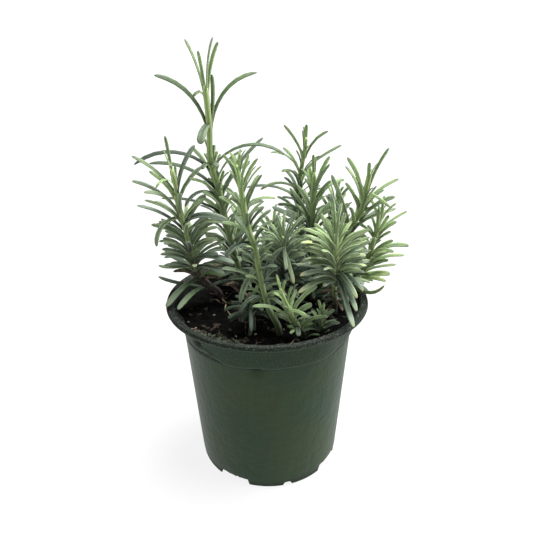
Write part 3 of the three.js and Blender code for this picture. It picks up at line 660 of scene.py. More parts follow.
            (152, -31, -14, 14, 0.1, 3), (150, 9, 40, 24, 0.15, 3.2), (146, 2, 28, 15, 0.1, 4.2),
            (136, -8, 20, 21, 0.3, 3), (137, -91, -12, 12, 0.2, 3.8),
        ],
        "pairs": {
            "from": 134, "to": 150, "count": 3, "heading": 60,
            "length": (14, 15), "climb": (15, 35), "bow": 0.12, "width": 2.6,
        },
    },
    {
        "name": "sprig_low", "seed": 109, "thickness": (3, 1.8),
        "path": [
            (38, -38, STEM_FOOT), (38, -38, 126), (37, -40, 134), (38, -41, 142),
        ],
        "leaves": [],
        "pairs": {
            "from": 130, "to": 140, "count": 4, "heading": 20,
            "length": (14, 12), "climb": (15, 55), "bow": 0.15, "width": 2.8,
        },
    },
    {
        "name": "tuft_front", "seed": 113, "thickness": (3.4, 2),
        "path": [
            (-10, -22, STEM_FOOT), (-10, -22, 128), (-11, -26, 138), (-12, -30, 150),
        ],
        "leaves": [
            (147, -88, -33, 24, 0.1, 3.2), (146, -121, -10, 16, 0, 2.6),
            (140, -144, -5, 20, 0.1, 3),
        ],
        "pairs": {
            "from": 134, "to": 148, "count": 3, "heading": 75,
            "length": (20, 16), "climb": (-30, 25), "bow": 0.25, "width": 3.2,
        },
    },
    {
        "name": "shoot_back_left", "seed": 127, "thickness": (3.8, 2.2),
        "path": [
            (-22, 47, STEM_FOOT), (-22, 47, 130), (-24, 50, 145), (-23, 53, 160), (-20, 55, 174),
        ],
        "leaves": [],
        "pairs": {
            "from": 134, "to": 172, "count": 8, "heading": 30,
            "length": (24, 20), "climb": (8, 55), "bow": 0.15, "width": 3.2,
        },
    },
    {
        "name": "shoot_back", "seed": 131, "thickness": (3.8, 2.2),
        "path": [
            (2, 50, STEM_FOOT), (2, 50, 130), (3, 53, 144), (5, 57, 158), (6, 60, 170),
        ],
        "leaves": [],
        "pairs": {
            "from": 136, "to": 168, "count": 7, "heading": 65,
            "length": (22, 20), "climb": (8, 55), "bow": 0.15, "width": 3.2,
        },
    },
    {
        "name": "shoot_back_right", "seed": 137, "thickness": (3.8, 2.2),
        "path": [
            (45, 35, STEM_FOOT), (45, 35, 130), (49, 40, 146), (54, 46, 164), (56, 50, 182),
            (57, 52, 194),
        ],
        "leaves": [],
        "pairs": {
            "from": 138, "to": 192, "count": 10, "heading": 45,
            "length": (24, 20), "climb": (8, 55), "bow": 0.15, "width": 3.2,
        },
    },
]


# A stem's path is a smooth curve through its points. A leaf is a bent row of balls from
# its root on the stem to its tip, held clear of the leaves that were set before.
def random_from(seed):
    """Yields numbers from 0 to 1, the same ones each time."""
    state = seed
    while True:
        state = (state * 16807) % 2147483647
        yield state / 2147483647


def either_way(draw, span):
    """A random number from half a span below nought to half a span above."""
    return span * (next(draw) - 0.5)


def about_one(draw):
    """A random share close to one, for a leaf's size."""
    return 0.85 + 0.3 * next(draw)


def on_stem(shoot, shares):
    """The points at the given shares of a stem's path."""
    knots = np.array(shoot["path"], float)
    ends = 2 * knots[[0, -1]] - knots[[1, -2]]
    knots = np.vstack([ends[:1], knots, ends[1:]])
    spans = len(knots) - 3
    step = np.minimum((np.asarray(shares) * spans).astype(int), spans - 1)
    t = (np.asarray(shares) * spans - step)[..., None]
    before, start, end, after = (knots[step + i] for i in range(4))
    leave, arrive = (end - before) / 2, (after - start) / 2
    curve = 2 * (start - end) + leave + arrive
    return start + t * (leave + t * (3 * (end - start) - 2 * leave - arrive + t * curve))


def stem_length(shoot):
    points = on_stem(shoot, np.linspace(0, 1, 201))
    return np.linalg.norm(np.diff(points, axis=0), axis=1).sum()


def share_at_height(shoot, height):
    low, high = 0, 1
    for _ in range(30):
        middle = (low + high) / 2
        if on_stem(shoot, middle)[2] < height:
            low = middle
        else:
            high = middle
    return low


def stem_radius(shoot, share):
    return mix(*shoot["thickness"], share) / 2


def leaf_from(shoot, height, heading, climb, length, bow, width, own_roll):
    """A leaf. One that grows to a side rolls its face to the front, towards the light."""
    root = on_stem(shoot, share_at_height(shoot, height))
    roll = own_roll + TURN_TO_LIGHT * math.cos(math.radians(heading))
    return {
        "root": root, "height": height, "heading": heading, "climb": climb,
        "length": length, "bow": bow, "width": width, "roll": roll,
    }


def leaf_bend(leaf):
    """The directions out and over, and the root, bend and tip that shape the curve."""
    turn, lift = math.radians(leaf["heading"]), math.radians(leaf["climb"])
    out = np.array([math.cos(turn), math.sin(turn), 0])
    up = np.array([0, 0, 1])
    ahead = out * math.cos(lift) + up * math.sin(lift)
    over = up * math.cos(lift) - out * math.sin(lift)
    root, length = leaf["root"], leaf["length"]
    tip = root + ahead * length
    bend = root + ahead * length / 2 + over * leaf["bow"] * length
    return out, root, bend, tip


def half_width(leaf, along):
    """A narrow stalk, widest near the tip, which is blunt."""
    stalk = STALK_WIDTH + (1 - STALK_WIDTH) * np.minimum(1, along / WIDEST_AT)
    in_tip = np.maximum(0, along - BLUNT_FROM) / (1 - BLUNT_FROM)
    return leaf["width"] / 2 * stalk * (1 - BLUNTING * in_tip)


def stem_balls(number, shoot):
    """Rows of place, radius, shoot, share of the leaf, and 1 for a stem."""
    count = math.ceil(stem_length(shoot) / SAMPLE_STEP)
    shares = np.arange(count + 1) / count
    points = on_stem(shoot, shares)
    ones = np.ones(len(points))
    return np.column_stack([points, stem_radius(shoot, shares), number * ones, ones, ones])


def leaf_balls(number, leaf):
    count = math.ceil(leaf["length"] / SAMPLE_STEP)
    along = np.arange(1, count + 1) / count
    _, root, bend, tip = leaf_bend(leaf)
    u = along[:, None]
    points = (1 - u) ** 2 * root + 2 * u * (1 - u) * bend + u * u * tip
    ones = np.ones(count)
    return np.column_stack([points, half_width(leaf, along), number * ones, along, 0 * ones])


def meets_pot(row):
    for x, y, z, radius in row[:, :4]:
        reach = radius + LEAF_KEEP_OFF_RIM
        if z < POT_HEIGHT + reach and math.hypot(x, y) > LEAF_SOIL_RADIUS - reach:
            return True
        if z < soil_top(x, y) + reach:
            return True
    return False


def meets_others(row, balls):
    low, high = row[:, :3].min(axis=0) - NEARBY, row[:, :3].max(axis=0) + NEARBY
    near = balls[np.all((balls[:, :3] > low) & (balls[:, :3] < high), axis=1)]
    gap = np.linalg.norm(row[:, None, :3] - near[None, :, :3], axis=2)
    radii = row[:, None, 3] + near[None, :, 3]
    same = row[:, None, 4] == near[None, :, 4]
    at_foot = (row[:, None, 5] < LEAF_FOOT) | (near[None, :, 5] < LEAF_FOOT)
    joined = (near[None, :, 6] == 1) | at_foot
    limit = np.where(same, np.where(joined, -1, CROWDING * radii), radii + LEAF_GAP)
    return bool((gap < limit).any())


def fit_leaf(number, leaf, balls):
    """Shifts a leaf until it is clear, and gives it with the balls it adds, or nothing."""
    for turn, lift, share in SHIFTS:
        shifted = dict(
            leaf, heading=leaf["heading"] + turn, climb=leaf["climb"] + lift,
            length=leaf["length"] * share,
        )
        row = leaf_balls(number, shifted)
        if not meets_pot(row) and not meets_others(row, balls):
            return shifted, np.vstack([balls, row])
    return None, balls


balls = np.vstack([stem_balls(number, shoot) for number, shoot in enumerate(SHOOTS)])
draws = [random_from(shoot["seed"]) for shoot in SHOOTS]
leaves = [[] for shoot in SHOOTS]
for number, shoot in enumerate(SHOOTS):
    for row in shoot["leaves"]:
        leaf = leaf_from(shoot, *row, either_way(draws[number], PLANNED_ROLL))
        leaf, balls = fit_leaf(number, leaf, balls)
        if leaf:
            leaves[number].append(leaf)
for number, shoot in enumerate(SHOOTS):
    pairs, draw = shoot["pairs"], draws[number]
    for pair in range(pairs["count"]):
        rise = pair / (pairs["count"] - 1)
        for side in (0, 180):
            turn = pairs["heading"] + 90 * pair + side + either_way(draw, PAIR_CHANCE["turn"])
            lift = mix(*pairs["climb"], rise) + either_way(draw, PAIR_CHANCE["lift"])
            length = mix(*pairs["length"], rise) * about_one(draw)
            width = pairs["width"] * about_one(draw)
            roll = either_way(draw, PAIR_CHANCE["roll"])
            height = mix(pairs["from"], pairs["to"], rise)
            leaf = leaf_from(shoot, height, turn, lift, length, pairs["bow"], width, roll)
            leaf, balls = fit_leaf(number, leaf, balls)
            if leaf:
                leaves[number].append(leaf)

# The finer leaves that grow between the pairs: long ones on the old wood near the foot,
# short steep ones in the young joints. Rows of: shoot, count, lowest and highest joint,
# shortest and longest, climb at the lowest and the highest joint, width, and the turn
# from each leaf to the next, which is half a turn where they lie like a fish's bones.
FINE_LEAVES = (
    ("shoot_tall", 44, 126, 190, (18, 28), (0, 45), 2.9, 137.5),
    ("shoot_tall", 20, 190, 234, (10, 20), (35, 65), 2.3, 137.5),
    ("shoot_tall", 26, 194, 240, (10, 17), (52, 74), 2.8, 137.5),
    ("shoot_left", 36, 146, 186, (18, 26), (5, 35), 3.2, 180),
    ("shoot_left", 8, 190, 230, (10, 16), (45, 70), 2.3, 137.5),
    ("shoot_front", 12, 140, 182, (12, 18), (-10, 50), 2.4, 137.5),
    ("shoot_front", 14, 178, 222, (9, 16), (30, 60), 2.3, 90),
    ("shoot_front", 12, 222, 238, (12, 20), (50, 70), 2.1, 137.5),
    ("shoot_crown", 40, 160, 186, (18, 26), (-5, 32), 2.4, 180),
    ("shoot_crown", 22, 126, 154, (7, 13), (-50, -10), 2.2, 137.5),
    ("shoot_crown", 12, 178, 197, (14, 22), (45, 70), 2.6, 137.5),
    ("shoot_right", 48, 126, 190, (16, 25), (5, 45), 3, 137.5),
    ("shoot_right", 6, 196, 226, (10, 18), (45, 70), 2.4, 137.5),
    ("shoot_far_right", 26, 134, 168, (15, 22), (5, 40), 2.8, 137.5),
    ("shoot_far_right", 12, 170, 201, (9, 15), (40, 70), 2.3, 137.5),
    ("shoot_middle", 54, 126, 196, (16, 25), (0, 45), 2.8, 137.5),
    ("shoot_middle", 8, 200, 228, (10, 18), (45, 70), 2.4, 137.5),
    ("shoot_back_middle", 50, 126, 206, (16, 25), (0, 45), 2.6, 137.5),
    ("shoot_back_middle", 8, 210, 246, (9, 16), (40, 70), 2.2, 137.5),
    ("shoot_rosette", 110, 124, 194, (15, 24), (-15, 60), 2.1, 137.5),
    ("sprig_front", 12, 124, 138, (9, 15), (10, 50), 2.4, 180),
    ("sprig_front", 5, 142, 165, (7, 10), (45, 70), 1.8, 180),
    ("sprig_low", 12, 124, 141, (7, 12), (20, 75), 2.3, 137.5),
    ("tuft_front", 14, 128, 149, (12, 20), (-45, 25), 2.6, 137.5),
    ("shoot_back_left", 44, 124, 173, (14, 24), (0, 65), 3, 137.5),
    ("shoot_back", 40, 124, 169, (14, 24), (0, 65), 3, 137.5),
    ("shoot_back_right", 48, 124, 193, (14, 24), (0, 65), 3, 137.5),
)
numbers = {shoot["name"]: number for number, shoot in enumerate(SHOOTS)}
for name, count, lowest, highest, lengths, climbs, usual_width, next_turn in FINE_LEAVES:
    number = numbers[name]
    draw = random_from(SHOOTS[number]["seed"] + FINE_SEED + count)
    for fine in range(count):
        rise = (fine + 0.5) / count
        height = mix(lowest, highest, rise)
        turn = next_turn * fine + either_way(draw, FINE_CHANCE["turn"])
        lift = mix(*climbs, rise) + either_way(draw, FINE_CHANCE["lift"])
        length = mix(*lengths, next(draw))
        bow = 0.1 + 0.2 * next(draw)
        width = usual_width * about_one(draw)
        roll = either_way(draw, FINE_CHANCE["roll"])
        leaf = leaf_from(SHOOTS[number], height, turn, lift, length, bow, width, roll)
        leaf, balls = fit_leaf(number, leaf, balls)
        if leaf:
            leaves[number].append(leaf)

# Single leaves of the front stem that stand out before the dark middle, and one that
# curls over the rim at the right. Each is a shoot, a row as above and a roll.
LONE_LEAVES = (
    ("shoot_front", 167, -27, 53, 31, 0.32, 2.2, 0),
    ("shoot_front", 186, -123, 27, 15, 0.2, 2.4, 0),
    ("shoot_front", 182, -23, 36, 14, 0, 1.8, 0),
    ("shoot_front", 178, -142, 24, 14, -0.1, 2, 0),
    ("shoot_far_right", 145, -58, 12, 37, -0.5, 3.2, 40),
)
for name, *row in LONE_LEAVES:
    number = numbers[name]
    leaf, balls = fit_leaf(number, leaf_from(SHOOTS[number], *row), balls)
    if leaf:
        leaves[number].append(leaf)

# Felted leaves roll their edges under, so each is a narrow rod with a groove on top.
# The sections' points are across and up, in half widths, each with its share of felt.
LEAF_SECTION = (
    (0, 0.08, 0), (0.55, 0.34, 0.6), (1, 0.02, 1), (0.66, -0.34, 0.6), (0, -0.24, 0.2),
    (-0.66, -0.34, 0.6), (-1, 0.02, 1), (-0.55, 0.34, 0.6),
)
SHORT_LEAF_ROWS = (0, 0.12, 0.36, 0.62, 0.84, 0.93, 0.98, 1)
LONG_LEAF_ROWS = (0, 0.06, 0.15, 0.26, 0.38, 0.5, 0.62, 0.74, 0.86, 0.94, 0.98, 1)
LONG_LEAF = 27
LEAF_FULLNESS = 0.95
LEAF_FOOT_WIDTH = 0.78
LEAF_SWAY = 0.1
CLASP_LENGTH = 6
CLASP_SHARE = 0.22
DROOPING_CLASP = 0.4
TIP_FROM = 0.8
TIP_ROUNDING = 0.94
# The stem is square with downy ridges and slightly rounded sides, and swells a little at
# its joints. Each corner is a reach in half widths and a share of felt.
STEM_SECTION = ((0.88, 0), (1.14, 1)) * 4
STEM_ROW_STEP = 3
JOINT_SWELL = 0.16
JOINT_LENGTH = 1.6
STEM_TIP = 0.55
# The heights up to which stems are brown wood, and from which they turn a lighter green.
WOODY_TO = {"shoot_left": 168, "shoot_tall": 142, "shoot_crown": 136}
USUAL_WOODY_TO = 122
WOOD_FADE = 14
GREEN_FROM = 130
# Tone says how young a leaf looks, from 0 to 1. It rises up the shoot and varies by
# chance, and long or drooping leaves look older. These shoots are younger or older,
# but the front tuft's low tone is painted shade under the shoots above it.
LOWEST_TONE = 0.22
TONE_RISE = 0.65
TONE_CHANCE = 0.6
HIGHEST_TONE = 0.88
LONG_LOOKS_OLDER = 0.012
OLDER_PAST_LENGTH = 26
DROOPING = -10
DROOPING_LOOKS_OLDER = 0.3
SHOOT_TONES = {
    "shoot_left": -0.08, "shoot_rosette": -0.3, "shoot_back_middle": -0.1, "shoot_tall": 0.05,
    "sprig_front": 0.2, "sprig_low": 0, "tuft_front": -0.4, "shoot_far_right": 0.5,
    "shoot_front": 0.1, "shoot_right": 0.15,
}
# How downy a shoot's leaves are, where they are not as downy as most. The front tuft's
# little felt darkens it as painted shade.
SHOOT_FELTS = {
    "tuft_front": 0.15, "sprig_front": 0.7, "sprig_low": 0.7, "shoot_left": 1.2,
    "shoot_crown": 1.2, "shoot_middle": 0.75, "shoot_back_middle": 0.75, "shoot_rosette": 0.85,
}
# Dry tips show on three in ten leaves of these shoots, up to the height given.
DRY_TIPS = {"shoot_crown": 184, "shoot_far_right": 170, "shoot_rosette": 172}
DRY_CHANCE = 0.3
# Leaves set one by one that look unlike their neighbours, by shoot and height: how much
# paler they are, how much drier, and how downy. A few have yellow tips, and the lower
# leaves of some shoots are greyer, as they keep more felt.
LEAF_TINTS = {
    "shoot_left": {
        141: (0.1, -0.4, 0), 151: (0.5, -0.4, 0), 195: (-0.2, 0.2, 1), 200: (-0.25, 0.1, 1),
        207: (-0.3, 0.3, 1), 208: (-0.35, 0.2, 1), 224: (-0.4, 0.3, 1), 227: (0.5, -0.3, 1),
    },
    "shoot_rosette": {184: (0.1, 0.9, 1), 190: (0.3, 0.3, 1)},
    "shoot_crown": {
        165: (0, 0.6, 1), 168: (0, 0.6, 1), 169: (0.2, -0.1, 0.35), 170: (0, 0.5, 1),
        171: (0.2, 0, 0.5), 172: (0.5, 0.4, 1), 174: (0.5, 0.5, 1), 176: (0.5, 0.4, 1),
    },
    "shoot_tall": {
        203: (-0.3, 0, 1), 222: (-0.3, 0, 0.5), 238: (-0.15, -0.1, 0.4),
        262: (0.1, -0.1, 0.4), 265: (-0.35, 0.2, 1),
    },
    "shoot_front": {186: (0.4, 0, 1)},
    "shoot_right": {190: (-0.5, 0, 1), 193: (-0.4, 0, 1)},
    "shoot_far_right": {
        143: (0.3, 0.3, 1), 145: (0.4, 0.5, 1), 147: (0.4, 0.4, 1), 151: (0.3, 0.3, 1),
        157: (0, 0.5, 1), 164: (0, -0.3, 1),
    },
}
YELLOW_TIPS = {"shoot_crown": (169, 171), "shoot_rosette": (184,)}
YELLOW_FROM = 0.8
YELLOWING = 0.6
GREYED = {"shoot_left": 0.6, "shoot_crown": 0.25, "shoot_rosette": 0.3, "shoot_tall": 0.15}
# Below this height the inner shoots' leaves are painted darker and with less felt: painted shade
# deep in the foliage.
SHADE_HEIGHT = 178
SHADE_DEPTH = 45
SHADE_DARKENS = 0.3
SHADE_THINS_FELT = 0.6
INNER_SHOOTS = (
    "shoot_tall", "shoot_middle", "shoot_back_middle", "shoot_right", "shoot_back_left",
    "shoot_back", "shoot_back_right", "shoot_rosette",
)
# Six in ten leaves of these shoots are withered below the height given.
WITHERED_BELOW = {"shoot_crown": 156, "shoot_left": 150, "shoot_tall": 138, "shoot_right": 140}
WITHERED_SHARE = 0.6


def rod(bm, sections, marks=()):
    """Adds a closed rod to a bmesh, extruded through sections in millimetres.

    Marks are lists of the values that each ring's vertices carry, by attribute name.
    """
    part = bmesh.new()
    layers = {name: part.verts.layers.float.new(name) for name in marks}
    ring = bmesh.ops.create_circle(part, cap_ends=True, segments=len(sections[0]))["verts"]
    end = ring[0].link_faces[0]
    rings = [list(end.verts)]
    for _ in sections[1:]:
        if len(rings) == 1:
            grown = bmesh.ops.extrude_face_region(part, geom=[end])["geom"]
            end = next(item for item in grown if isinstance(item, bmesh.types.BMFace))
        else:
            end = bmesh.ops.extrude_discrete_faces(part, faces=[end])["faces"][0]
        rings.append(list(end.verts))
    for ring, section in zip(rings, sections):
        for vertex, point in zip(ring, section):
            vertex.co = point * MM
    for name, layer in layers.items():
        for ring, values in zip(rings, marks[name]):
            for vertex, value in zip(ring, values):
                vertex[layer] = value
    bmesh.ops.recalc_face_normals(part, faces=part.faces[:])
    mesh = bpy.data.meshes.new("part")
    part.to_mesh(mesh)
    part.free()
    bm.from_mesh(mesh)
    bpy.data.meshes.remove(mesh)


def stem_sections(shoot):
    shares = np.linspace(0, 1, round(stem_length(shoot) / STEM_ROW_STEP) + 1)
    points = on_stem(shoot, shares)
    pairs = shoot["pairs"]
    joints = np.linspace(pairs["from"], pairs["to"], pairs["count"])
    sections = []
    for number, share in enumerate(shares):
        nearby = points[max(number - 1, 0)], points[min(number + 1, len(points) - 1)]
        ahead = Vector(nearby[1] - nearby[0]).normalized()
        side = (Vector((1, 0, 0)) - ahead * ahead.x).normalized()
        joint = np.abs(joints - points[number][2]).min()
        swell = 1 + JOINT_SWELL * math.exp(-(joint / JOINT_LENGTH) ** 2)
        radius = float(stem_radius(shoot, share) * swell) * (STEM_TIP if share == 1 else 1)
        section = []
        for corner, (reach, _) in enumerate(STEM_SECTION):
            turn = math.pi / 4 * corner
            around = side * math.cos(turn) + ahead.cross(side) * math.sin(turn)
            section.append(Vector(points[number]) + around * radius * reach)
        sections.append(section)
    return sections, points[:, 2]


def leaf_sections(leaf, sway):
    """A leaf's base clasps the stem, then the blade leaves it and follows its bend."""
    rows = np.array(LONG_LEAF_ROWS if leaf["length"] > LONG_LEAF else SHORT_LEAF_ROWS)
    out, root, bend, tip = leaf_bend(leaf)
    turn = math.radians(leaf["heading"])
    level = Vector((-math.sin(turn), math.cos(turn), 0))
    clasp = min(CLASP_LENGTH, CLASP_SHARE * leaf["length"])
    clasp *= 1 if leaf["climb"] > -20 else DROOPING_CLASP
    controls = (
        root + out * 0.5 - np.array([0, 0, clasp]),
        root + 0.45 * (bend - root) + out * 0.8,
        tip + 2 / 3 * (bend - tip) + sway * np.array(level),
        tip,
    )
    u = rows[:, None]
    weights = (1 - u) ** 3, 3 * u * (1 - u) ** 2, 3 * u * u * (1 - u), u ** 3
    middles = sum(weight * control for weight, control in zip(weights, controls))
    aheads = np.gradient(middles, rows, axis=0)
    in_tip = np.clip((rows - TIP_FROM) / (1 - TIP_FROM), 0, 1)
    round_tip = np.sqrt(1 - TIP_ROUNDING * in_tip ** 2.5)
    widening = mix(LEAF_FOOT_WIDTH, 1, np.minimum(1, rows / 0.75))
    halves = LEAF_FULLNESS * leaf["width"] / 2 * widening * round_tip
    sections = []
    for middle, ahead, half in zip(middles, aheads, halves.tolist()):
        middle, ahead = Vector(middle), Vector(ahead).normalized()
        side = Matrix.Rotation(math.radians(leaf["roll"]), 3, ahead) @ level
        side = (side - ahead * side.dot(ahead)).normalized()
        upper = ahead.cross(side)
        sections.append([
            middle + half * (across * side + up * upper) for across, up, _ in LEAF_SECTION
        ])
    return sections, rows


# Young lavender stems are pale green and downy; the oldest wood at the foot is brown.
stem_skin, shader, place = new_material("downy_green_stem")
wood = node(stem_skin, "Attribute", {}, attribute_name="age").outputs["Fac"]
fibres = node(stem_skin, "Mapping", {"Vector": place, "Scale": (1, 1, 0.12)})
fibre_noise = node(stem_skin, "TexNoise", {"Vector": fibres, "Scale": 1400, "Detail": 3})
ridge = node(stem_skin, "Attribute", {}, attribute_name="felt").outputs["Fac"]
along = node(stem_skin, "Attribute", {}, attribute_name="along").outputs["Fac"]
groove = node(stem_skin, "Mix", {
    0: along, 6: linear("#2C4422"), 7: linear("#66893E"),
}, data_type="RGBA")
downy = node(stem_skin, "Mix", {
    0: along, 6: linear("#66794D"), 7: linear("#B4C28B"),
}, data_type="RGBA")
green = node(stem_skin, "Mix", {0: ridge, 6: groove, 7: downy}, data_type="RGBA")
brown = node(stem_skin, "ValToRGB", {"Fac": fibre_noise}, stops=[
    (0.3, "#231C16"), (0.7, "#5A4D3F"),
])
colour = node(stem_skin, "Mix", {0: wood, 6: green, 7: brown}, data_type="RGBA")
relief = node(stem_skin, "Bump", {"Height": fibre_noise, "Strength": 0.4, "Distance": 0.3 * MM})
connect(shader, {
    "Base Color": colour, "Roughness": 0.7, "IOR": 1.45, "Normal": relief,
    "Sheen Weight": 0.3, "Sheen Roughness": 0.5,
})

# The leaves' short white felt makes them dull and greyer, most of all on their rolled
# edges and undersides. The hairs are 0.1 mm; their pattern is drawn at 0.5 mm to show.
leaf_skin, shader, place = new_material("felted_lavender_leaf")
age, gold, along, felt = (
    node(leaf_skin, "Attribute", {}, attribute_name=name).outputs["Fac"]
    for name in ("age", "gold", "along", "felt")
)
mottle = node(leaf_skin, "TexNoise", {"Vector": place, "Scale": 260, "Detail": 2})
down = node(leaf_skin, "TexNoise", {"Vector": place, "Scale": 1900, "Detail": 2})
old = node(leaf_skin, "ValToRGB", {"Fac": mottle}, stops=[(0.3, "#142516"), (0.7, "#294126")])
young = node(leaf_skin, "ValToRGB", {"Fac": mottle}, stops=[(0.3, "#4A6930"), (0.7, "#698944")])
green = node(leaf_skin, "Mix", {0: age, 6: old, 7: young}, data_type="RGBA")
pale = node(leaf_skin, "Mix", {
    0: age, 6: linear("#879782"), 7: linear("#B9CC99"),
}, data_type="RGBA")
felt_noise = node(leaf_skin, "MapRange", {"Value": down, "From Min": 0.3, "From Max": 0.6})
felt_share = node(leaf_skin, "Math", {0: felt, 1: felt_noise}, operation="MULTIPLY")
felted = node(leaf_skin, "Mix", {0: felt_share, 6: green, 7: pale}, data_type="RGBA")
# Near the stem old leaves are painted near-black, a painted shade among the crowded leaf bases.
# Young leaves turn a paler yellow-green there.
near_base = node(leaf_skin, "MapRange", {
    "Value": along, "From Min": 0.05, "From Max": 0.35, "To Min": 0.8, "To Max": 0,
})
base_shade_and_tint = node(leaf_skin, "Mix", {
    0: age, 6: linear("#0F1C11"), 7: linear("#A9BA7C"),
}, data_type="RGBA")
based = node(leaf_skin, "Mix", {0: near_base, 6: felted, 7: base_shade_and_tint}, data_type="RGBA")
towards_tip = node(leaf_skin, "MapRange", {"Value": along, "From Min": 0.35, "From Max": 0.9})
dryness = node(leaf_skin, "Math", {0: towards_tip, 1: gold}, operation="MULTIPLY")
faded = node(leaf_skin, "Mix", {
    0: age, 6: linear("#889985"), 7: linear("#BBC684"),
}, data_type="RGBA")
dried = node(leaf_skin, "Mix", {0: dryness, 6: based, 7: faded}, data_type="RGBA")
tip = node(leaf_skin, "ValToRGB", {"Fac": gold}, stops=[
    (0.12, "#3F4A39"), (0.65, "#78866A"), (0.95, "#B5AA57"),
])
at_tip = node(leaf_skin, "MapRange", {
    "Value": along, "From Min": 0.84, "From Max": 1, "To Min": 0, "To Max": 0.65,
})
tipped = node(leaf_skin, "Mix", {0: at_tip, 6: dried, 7: tip}, data_type="RGBA")
relief = node(leaf_skin, "Bump", {"Height": down, "Strength": 0.35, "Distance": 0.2 * MM})
connect(shader, {
    "Base Color": tipped, "Roughness": 0.65, "IOR": 1.45, "Normal": relief,
    "Sheen Weight": 0.12, "Sheen Roughness": 0.45,
})

# Withered leaves stay on the shaded wood. They are dry and papery, and fade to tan.
withered_skin, shader, place = new_material("withered_lavender_leaf")
fading = node(withered_skin, "TexNoise", {"Vector": place, "Scale": 240, "Detail": 3})
brown = node(withered_skin, "ValToRGB", {"Fac": fading}, stops=[
    (0.35, "#241D15"), (0.5, "#4D4434"), (0.68, "#857C62"),
])
connect(shader, {"Base Color": brown, "Roughness": 0.8, "IOR": 1.45})


def leaf_looks(name, leaf, rise, draw):
    """A leaf's tone, how dry it is, how much its tip yellows, and how hairy it is."""
    tone = LOWEST_TONE + TONE_RISE * rise ** 1.5 + either_way(draw, TONE_CHANCE)
    tone += SHOOT_TONES.get(name, 0)
    tone -= LONG_LOOKS_OLDER * max(0, leaf["length"] - OLDER_PAST_LENGTH)
    tone -= DROOPING_LOOKS_OLDER if leaf["climb"] < DROOPING else 0
    dry = DRY_TIPS.get(name, 0) > leaf["height"] and next(draw) < DRY_CHANCE
    dryness = 0.2 + 0.4 * next(draw) if dry else 0.1 * next(draw)
    dryness += GREYED.get(name, 0) * (1 - rise)
    paler, drier, downier = LEAF_TINTS.get(name, {}).get(leaf["height"], (0, 0, 1))
    # Painted shade: the inner shoots' low leaves get a darker tone and less felt.
    shade = clamp((SHADE_HEIGHT - leaf["height"]) / SHADE_DEPTH) if name in INNER_SHOOTS else 0
    tone = clamp(min(HIGHEST_TONE, tone - SHADE_DARKENS * shade) + paler)
    hairy = SHOOT_FELTS.get(name, 1) * downier * (0.7 + 0.3 * min(1, 1.5 * rise))
    yellowing = YELLOWING if leaf["height"] in YELLOW_TIPS.get(name, ()) else 0
    return tone, dryness + drier, yellowing, hairy * (1 - SHADE_THINS_FELT * shade)


def ringed(values):
    """Gives all the vertices of each ring of a leaf or stem its ring's value."""
    return [[value] * len(LEAF_SECTION) for value in values]


for shoot, group in zip(SHOOTS, leaves):
    name = shoot["name"]
    foot, top = shoot["pairs"]["from"], shoot["path"][-1][2]
    woody_to = WOODY_TO.get(name, USUAL_WOODY_TO)
    bm = bmesh.new()
    sections, heights = stem_sections(shoot)
    woody = [clamp((woody_to - height) / WOOD_FADE + 0.5) for height in heights]
    lighter = [clamp((height - GREEN_FROM) / (top - GREEN_FROM)) ** 0.6 for height in heights]
    rod(bm, sections, {
        "age": ringed(woody),
        "along": ringed(lighter),
        "felt": [[felt for _, felt in STEM_SECTION]] * len(sections),
    })
    leaf_faces = []
    draw = random_from(shoot["seed"] + LOOKS_SEED)
    for leaf in group:
        rise = clamp((leaf["height"] - foot) / (top - foot))
        tone, dryness, yellowing, hairy = leaf_looks(name, leaf, rise, draw)
        sections, rows = leaf_sections(leaf, either_way(draw, LEAF_SWAY * leaf["length"]))
        gold = [clamp(dryness + yellowing * (share > YELLOW_FROM)) for share in rows]
        first_face = len(bm.faces)
        rod(bm, sections, {
            "age": ringed([tone] * len(rows)),
            "gold": ringed(gold),
            "along": ringed(rows),
            "felt": [[hairy * felt for _, _, felt in LEAF_SECTION]] * len(rows),
        })
        withered = leaf["height"] < WITHERED_BELOW.get(name, 0) and next(draw) < WITHERED_SHARE
        withered = withered and leaf["height"] not in LEAF_TINTS.get(name, {})
        leaf_faces += [2 if withered else 1] * (len(bm.faces) - first_face)
    bm.faces.ensure_lookup_table()
    for face, slot in zip(bm.faces[-len(leaf_faces):], leaf_faces):
        face.material_index = slot
    piece = new_piece("lavender_" + name, bm, stem_skin, leaf_skin, withered_skin)
    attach(piece, "root")
    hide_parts(name)


# Bark
# Chips of composted pine bark in the potting mix, split along the grain and worn round.
# They lie loose all over the surface, half sunk in the peat.
CHIP_COUNT = 80
CHIP_CUTS = 2
CHIP_VERTS = 56
CHIP_TILT = 0.8
CHIP_REACH = 61


def lumpy(verts, depth, pitch, seed):
    """Pushes a small shape's vertices about, to make it natural."""
    for vertex in verts:
        spot = vertex.co / (pitch * MM) + Vector((seed, 0, 0))
        vertex.co += depth * MM * noise.noise_vector(spot)


def scattered(draw, reach):
    """A place on the soil, in millimetres, anywhere inside the radius."""
    radius, turn = reach * math.sqrt(next(draw)), 2 * math.pi * next(draw)
    x, y = radius * math.cos(turn), radius * math.sin(turn)
    return Vector((x, y, soil_surface(x, y)))


